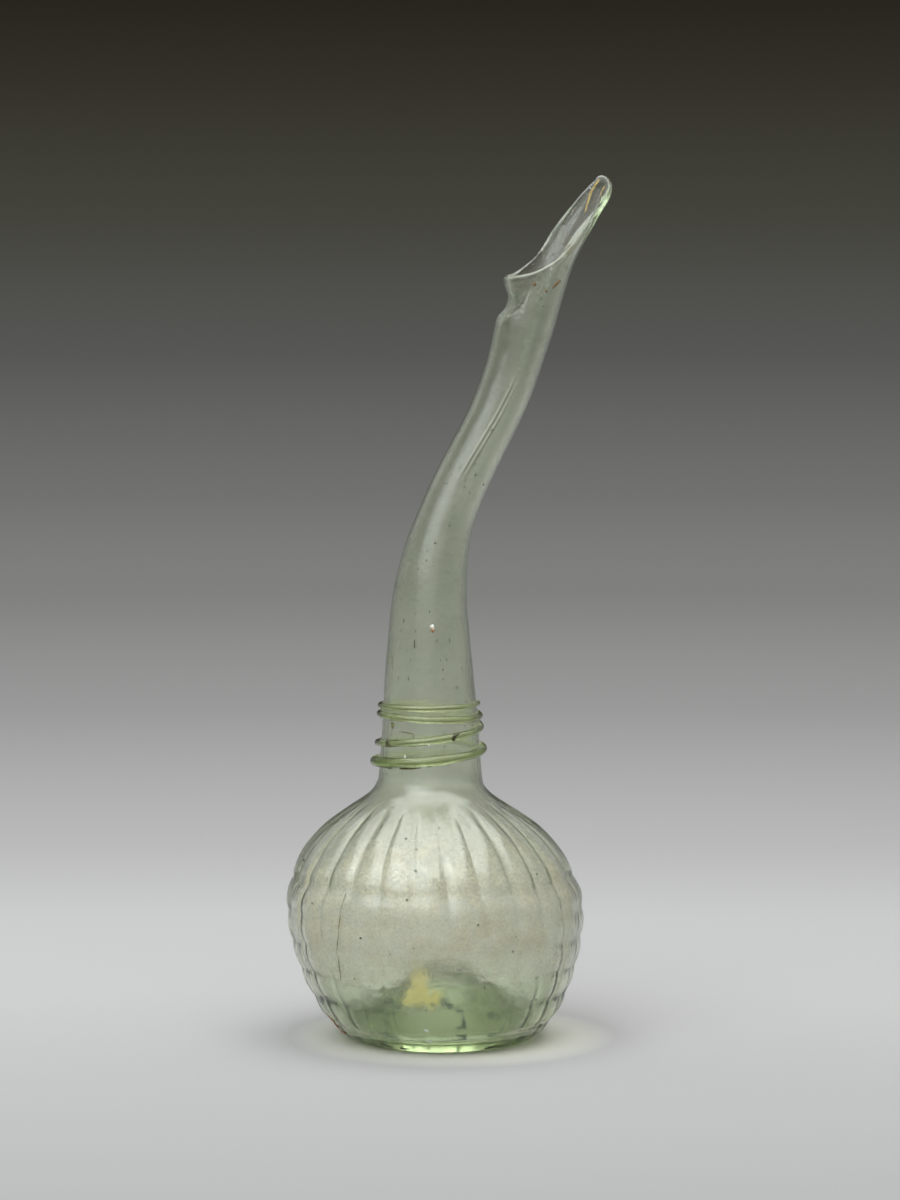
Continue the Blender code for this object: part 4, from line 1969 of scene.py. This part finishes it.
@dataclass
class Studio:
    """The camera, the soft lights and the pale floor that curves up all round."""

    camera_place: Place = (-0.5488, -1.5048, 0.3115)
    camera_target: Place = (-0.0015, -0.0013, 0.17685)
    lens: float = 120.4
    sensor: float = 36.0
    lights: tuple[SoftLight, ...] = (
        SoftLight("top_light", (-0.10, -0.28, 2.40), 3.0, 3.0, 89.0, WHITE),
        SoftLight("left_light", (-1.25, -0.98, 1.50), 1.9, 1.3, 17.0, (0.90, 0.96, 1.0)),
        SoftLight("front_light", (-1.40, -2.15, 1.00), 3.0, 2.0, 12.0, (1.0, 1.0, 0.97)),
    )
    ambience: float = 0.45
    paper: Paper = field(default_factory=Paper)
    floor_radius: float = 2.2
    floor_steps: int = 12
    cove_radius: float = 1.0
    cove_steps: int = 16
    wall_height: float = 1.05
    turn_steps: int = 96

    def build(self) -> None:
        """Set up the camera, the lights and the floor."""
        self.add_camera()
        self.add_floor()
        for light in self.lights:
            light.build()
        world = bpy.data.worlds.new("studio")
        bpy.context.scene.world = world
        world.use_nodes = True
        background = world.node_tree.nodes["Background"]
        background.inputs["Color"].default_value = (*WHITE, 1.0)
        background.inputs["Strength"].default_value = self.ambience
        bpy.context.scene.view_settings.view_transform = "Standard"

    def add_camera(self) -> None:
        """Add the camera."""
        data = bpy.data.cameras.new("camera")
        data.sensor_fit = "VERTICAL"
        data.sensor_height = self.sensor
        data.lens = self.lens
        camera = bpy.data.objects.new("camera", data)
        aim(camera, self.camera_place, self.camera_target)
        bpy.context.scene.camera = camera

    def floor_profile(self) -> list[Spot]:
        """Return how far out and how high the floor runs, from its middle to the wall's edge.

        Returns:
            Pairs of a distance from the middle and a height.
        """
        steps = range(self.floor_steps + 1)
        points = [(self.floor_radius * step / self.floor_steps, 0.0) for step in steps]
        for step in range(1, self.cove_steps + 1):
            angle = 0.5 * math.pi * step / self.cove_steps
            out = self.floor_radius + self.cove_radius * math.sin(angle)
            points.append((out, self.cove_radius * (1.0 - math.cos(angle))))
        return points + [(self.floor_radius + self.cove_radius, self.wall_height)]

    def add_floor(self) -> None:
        """Add the floor, a disc whose edge curves up into a low wall all round."""
        mesh = bmesh.new()
        verts = [
            bmesh.ops.create_vert(mesh, co=(out, 0.0, height))["vert"][0]
            for out, height in self.floor_profile()
        ]
        for first, second in zip(verts, verts[1:]):
            mesh.edges.new((first, second))
        bmesh.ops.spin(
            mesh,
            geom=list(mesh.verts) + list(mesh.edges),
            cent=(0.0, 0.0, 0.0),
            axis=UP,
            angle=FULL_TURN,
            steps=self.turn_steps,
            use_merge=True,
        )
        bmesh.ops.remove_doubles(mesh, verts=mesh.verts, dist=FLOOR_WELD)
        data = finished_mesh("floor", mesh)
        data.materials.append(self.paper.material())
        floor = bpy.data.objects.new("floor", data)
        bpy.context.scene.collection.objects.link(floor)


STAINS_AND_SHADE = (
    Stain(Tone.OCHRE, (566.0, 252.5), (572.5, 245.0), 0.0014, 1),
    Stain(Tone.OCHRE, (565.0, 266.0), (565.0, 275.0), 0.0020, 1),
    Stain(Tone.DARK_DIRT_AND_SHADE, (563.0, 228.0), (562.0, 240.0), 0.0020, 0),
    Stain(Tone.YELLOW, (416.0, 975.0), (420.0, 992.0), 0.0080, 2),
    Stain(Tone.YELLOW, (410.0, 999.0), (434.0, 1000.0), 0.0074, 2),
    # Painted shade under the lip: partly the fold's thicker green glass, partly the dark of its
    # refraction.
    Stain(Tone.DARK_DIRT_AND_SHADE, (516.0, 293.0), (519.0, 304.0), 0.0024, 1),
    Stain(Tone.BARE, (418.0, 980.0), (466.0, 981.0), 0.0085, 1),
    Stain(Tone.BARE, (392.0, 992.0), (496.0, 992.0), 0.0080, 1),
)
SLATE_FLECKS = (
    Fleck((388.0, 1001.0), (393.0, 1003.0), 0.0018, 2),
    Fleck((396.0, 1004.0), (398.0, 1010.0), 0.0015, 2),
    Fleck((384.0, 1006.0), (388.0, 1004.0), 0.0014, 2),
    Fleck((372.0, 1012.0), (374.0, 1020.0), 0.0015, 2),
    Fleck((381.0, 1011.0), (384.0, 1015.0), 0.0014, 2),
    Fleck((387.0, 1018.0), (392.0, 1017.0), 0.0018, 2),
    Fleck((384.0, 1024.0), (389.0, 1026.0), 0.0015, 2),
    Fleck((441.0, 999.0), (447.0, 1002.0), 0.0016, 2),
    Fleck((445.0, 1006.0), (452.0, 1007.0), 0.0018, 2),
    Fleck((431.0, 1004.0), (437.0, 1007.0), 0.0012, 2),
    Fleck((458.0, 1012.0), (463.0, 1015.0), 0.0016, 2),
    Fleck((463.0, 1020.0), (464.0, 1026.0), 0.0018, 2),
    Fleck((458.0, 1028.0), (463.0, 1027.0), 0.0014, 2),
    Fleck((489.0, 1017.0), (494.0, 1017.5), 0.0015, 2),
    Fleck((416.0, 1008.0), (422.0, 1009.0), 0.0010, 2),
    Fleck((454.0, 991.0), (458.0, 992.0), 0.0012, 2),
    Fleck((403.0, 983.0), (406.0, 980.0), 0.0014, 2),
    Fleck((396.0, 988.0), (393.0, 990.0), 0.0012, 2),
    Fleck((422.0, 970.5), (425.0, 969.5), 0.0012, 2),
    Fleck((434.0, 969.5), (438.0, 970.0), 0.0013, 2),
    Fleck((447.0, 970.0), (452.0, 970.5), 0.0015, 2),
    Fleck((460.0, 972.0), (465.0, 973.5), 0.0015, 2),
    Fleck((471.0, 976.0), (477.0, 979.5), 0.0016, 2),
    Fleck((484.0, 983.0), (490.0, 986.0), 0.0014, 2),
)
OCHRE_FLECKS = (
    Fleck((598.0, 181.0), (595.0, 186.0), 0.0011),
    Fleck((595.5, 185.0), (591.5, 192.0), 0.0012),
    Fleck((592.0, 190.5), (588.5, 201.0), 0.0010),
    Fleck((589.0, 199.5), (586.5, 207.0), 0.0012),
    Fleck((587.0, 205.5), (585.0, 212.5), 0.0009),
    Fleck((605.0, 186.0), (601.5, 191.0), 0.0009),
    Fleck((602.0, 190.5), (600.0, 196.0), 0.0007),
)
DARK_FLECKS_AND_CONTACT_SHADE = (
    Fleck((414.6, 641.0), (414.6, 647.0), 0.0007),
    Fleck((563.8, 223.8), (563.8, 223.8), 0.0012),
    Fleck((555.6, 260.0), (555.6, 260.0), 0.0008, 1),
    Fleck((537.5, 260.0), (537.5, 260.0), 0.0007),
    Fleck((553.0, 254.0), (553.0, 254.0), 0.0006),
    Fleck((525.0, 273.8), (525.0, 273.8), 0.0007),
    Fleck((483.6, 484.5), (483.6, 484.5), 0.0009),
    Fleck((445.0, 483.0), (445.0, 483.0), 0.0006),
    Fleck((464.5, 487.0), (464.5, 487.0), 0.0006),
    Fleck((450.0, 464.0), (450.0, 464.0), 0.0006),
    Fleck((435.0, 543.0), (435.0, 543.0), 0.0007),
    Fleck((407.0, 900.0), (407.0, 900.0), 0.0009),
    Fleck((478.0, 925.0), (478.0, 925.0), 0.0009),
    # Painted shade: dark grains where the foot's ring meets the floor.
    Fleck((381.0, 1043.0), (389.0, 1046.0), 0.0020),
    Fleck((401.0, 1048.0), (408.0, 1049.0), 0.0014),
    Fleck((486.0, 1048.5), (496.0, 1045.5), 0.0020),
)
DARK_SCATTERS = (
    Scatter(90, 0.024, 0.092, 0.0005, 0.0010),
    Scatter(12, 0.018, 0.030, 0.0008, 0.0014),
    Scatter(14, 0.290, 0.340, 0.0003, 0.0006),
)
# Pale specks of weathering pits, which also stand in as painted glints.
PALE_PITS_AND_GLINTS = (
    Scatter(130, 0.270, 0.343, 0.0002, 0.0005),
    Scatter(60, 0.104, 0.270, 0.0002, 0.0004),
)
SEED_SCATTERS = (
    Scatter(170, 0.104, 0.255, 0.00014, 0.00030, 5.0),
    Scatter(60, 0.036, 0.092, 0.00025, 0.00050),
)
OLIVE_FLECKS = (
    Fleck((385.0, 741.0), (394.0, 744.5), 0.0006),
    Fleck((394.0, 745.0), (416.0, 746.0), 0.0007),
    Fleck((418.0, 746.0), (440.0, 742.0), 0.0007),
    Fleck((442.0, 742.5), (462.0, 733.5), 0.0004),
    Fleck((384.0, 767.0), (394.0, 769.0), 0.0006),
    Fleck((398.0, 769.0), (420.0, 768.0), 0.0007),
    Fleck((426.0, 767.0), (446.0, 763.0), 0.0006),
    Fleck((392.6, 724.0), (392.6, 727.5), 0.0016),
    Fleck((389.0, 655.0), (388.6, 663.0), 0.0009),
    Fleck((400.0, 731.5), (412.0, 733.5), 0.0005),
    Fleck((345.0, 894.0), (341.0, 912.0), 0.0004),
    Fleck((341.0, 912.0), (338.0, 932.0), 0.0004),
    Fleck((338.0, 932.0), (337.0, 958.0), 0.0004),
    Fleck((337.0, 958.0), (343.0, 982.0), 0.0004),
    Fleck((404.0, 978.0), (399.0, 984.0), 0.0016, 2),
    Fleck((392.0, 988.0), (385.0, 991.0), 0.0014, 2),
    Fleck((484.0, 981.0), (490.0, 983.0), 0.0018, 2),
    Fleck((468.0, 971.0), (474.0, 975.0), 0.0018, 2),
)
BROWN_FLECKS = (
    Fleck((328.0, 1015.0), (334.0, 1021.0), 0.0018),
    Fleck((334.0, 1022.0), (338.0, 1027.0), 0.0020),
    Fleck((340.0, 1029.5), (343.5, 1032.0), 0.0014),
    Fleck((432.8, 630.0), (432.8, 631.0), 0.0013, 0, 1.4),
    Fleck((534.4, 284.4), (534.4, 284.4), 0.0012, 1),
    Fleck((545.6, 291.0), (545.6, 291.0), 0.0011, 1),
    Fleck((552.5, 287.0), (558.8, 280.6), 0.0011, 1),
)
PALE_FLECKS_AND_GLINTS = (
    Fleck((432.4, 626.5), (432.4, 627.5), 0.0017),
    Fleck((418.0, 967.0), (414.0, 970.0), 0.0016, 2),
    Fleck((409.0, 973.0), (405.0, 977.0), 0.0014, 2),
    Fleck((396.0, 985.0), (392.0, 988.0), 0.0012, 2),
    Fleck((426.0, 966.0), (430.0, 966.5), 0.0016, 2),
    Fleck((437.0, 968.0), (442.0, 967.0), 0.0014, 2),
    Fleck((452.0, 967.0), (457.0, 968.0), 0.0018, 2),
    Fleck((464.0, 969.0), (467.0, 971.0), 0.0014, 2),
    Fleck((478.0, 977.0), (482.0, 979.0), 0.0016, 2),
    Fleck((493.0, 984.0), (498.0, 987.0), 0.0014, 2),
    # Painted glints low on the foot.
    Fleck((425.0, 1030.0), (427.0, 1031.0), 0.0012),
    Fleck((428.0, 1041.0), (431.0, 1042.0), 0.0010),
    Fleck((405.0, 757.0), (405.0, 757.0), 0.0014),
    # A painted glint on the thread.
    Fleck((429.0, 745.0), (429.0, 745.0), 0.0012),
)


DIRT = (
    Flecks(
        "dark_flecks_and_contact_shade",
        200,
        DirtFinish("dark_dirt_and_contact_shade", (0.05, 0.07, 0.04), (0.12, 0.14, 0.08)),
        DARK_FLECKS_AND_CONTACT_SHADE,
        DARK_SCATTERS,
    ),
    Flecks(
        "olive_flecks",
        250,
        DirtFinish("olive_dirt", (0.13, 0.11, 0.03), (0.24, 0.24, 0.10)),
        OLIVE_FLECKS,
        SEED_SCATTERS,
    ),
    Flecks(
        "brown_flecks",
        300,
        DirtFinish("brown_dirt", (0.42, 0.20, 0.07), (0.30, 0.17, 0.09)),
        BROWN_FLECKS,
    ),
    Flecks(
        "slate_flecks",
        500,
        DirtFinish("slate_dirt", (0.04, 0.07, 0.06), (0.10, 0.15, 0.13)),
        SLATE_FLECKS,
    ),
    Flecks(
        "ochre_flecks",
        600,
        DirtFinish("ochre_dirt", (0.38, 0.28, 0.08), (0.28, 0.22, 0.08)),
        OCHRE_FLECKS,
    ),
    Flecks(
        "pale_flecks_and_glints",
        400,
        DirtFinish("pale_dirt_and_glints", (0.82, 0.84, 0.80), (0.64, 0.66, 0.58), 0.4),
        PALE_FLECKS_AND_GLINTS,
        PALE_PITS_AND_GLINTS,
    ),
)
VESSEL_GLASS = GlassFinish(
    name="vessel_glass",
    bands=(
        (0.000, (0.935, 0.985, 0.87)),
        (0.018, (0.940, 0.985, 0.88)),
        (0.034, (0.99, 1.00, 0.97)),
        (0.060, (1.00, 1.00, 0.985)),
        (0.082, (0.985, 1.00, 0.965)),
        # Darker yellowish band at the neck's root: partly the glass's own yellowish ring, partly
        # painted shade that dims the light through it.
        (0.094, (0.880, 0.915, 0.835)),
        (0.110, (0.920, 0.960, 0.880)),
        (0.140, (0.922, 0.965, 0.885)),
        (0.260, (0.920, 0.965, 0.885)),
        (0.346, (0.88, 0.935, 0.84)),
    ),
    clouded=(0.985, 0.98, 0.955),
    cloud_share=0.7,
    absorption=(0.40, 0.66, 0.0),
    density=35.0,
    roughness=(0.09, 0.22),
    pitting=0.00008,
    lines=0.00004,
    seed_colour=(0.40, 0.44, 0.32),
    clear_below=0.034,
)
THREAD_GLASS = GlassFinish(
    name="thread_glass",
    bands=((0.00, (0.94, 0.97, 0.82)), (0.346, (0.94, 0.97, 0.82))),
    clouded=(0.84, 0.85, 0.62),
    cloud_share=0.5,
    absorption=(0.50, 0.66, 0.0),
    density=110.0,
    roughness=(0.06, 0.16),
    pitting=0.00005,
    lines=0.00002,
    seed_colour=(0.35, 0.30, 0.15),
)
FILM = FilmFinish(
    name="weathering_film",
    light=(1.00, 0.985, 0.91),
    dull=(0.92, 0.84, 0.69),
    green=(0.80, 0.90, 0.66),
    # The second stain colour is dark dirt, and also the painted shade under the lip.
    stains=((0.22, 0.165, 0.05), (0.07, 0.10, 0.08), (0.80, 0.68, 0.22)),
    covers=(
        (0.0000, 0.30),
        (0.0160, 0.30),
        (0.0220, 0.66),
        (0.0340, 0.80),
        (0.0520, 0.80),
        (0.0700, 0.66),
        (0.0880, 0.30),
        (0.1000, 0.13),
        (0.2500, 0.09),
        (0.3460, 0.06),
    ),
)


def main() -> None:
    """Build the studio and the bottle over the imported model; each piece's face count is logged."""
    logging.basicConfig(level=logging.INFO, format="%(message)s")
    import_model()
    low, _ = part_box("body")
    outline = BodyOutline()
    axis_x = low[0] + outline.radius - math.tan(outline.lean) * outline.widest_height
    studio = Studio()
    studio.build()
    shape = Vessel(axis_x)
    vessel = shape.build(VESSEL_GLASS)
    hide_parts("body", "neck", "mouth")
    sight = Sight(studio, vessel)
    Weathering(shape, STAINS_AND_SHADE).build(FILM, sight)
    for flecks in DIRT:
        flecks.build(sight, shape)
    thread = NeckThread(axis_x).build(THREAD_GLASS)
    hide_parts("neck_trail")


if __name__ == "__main__":
    main()
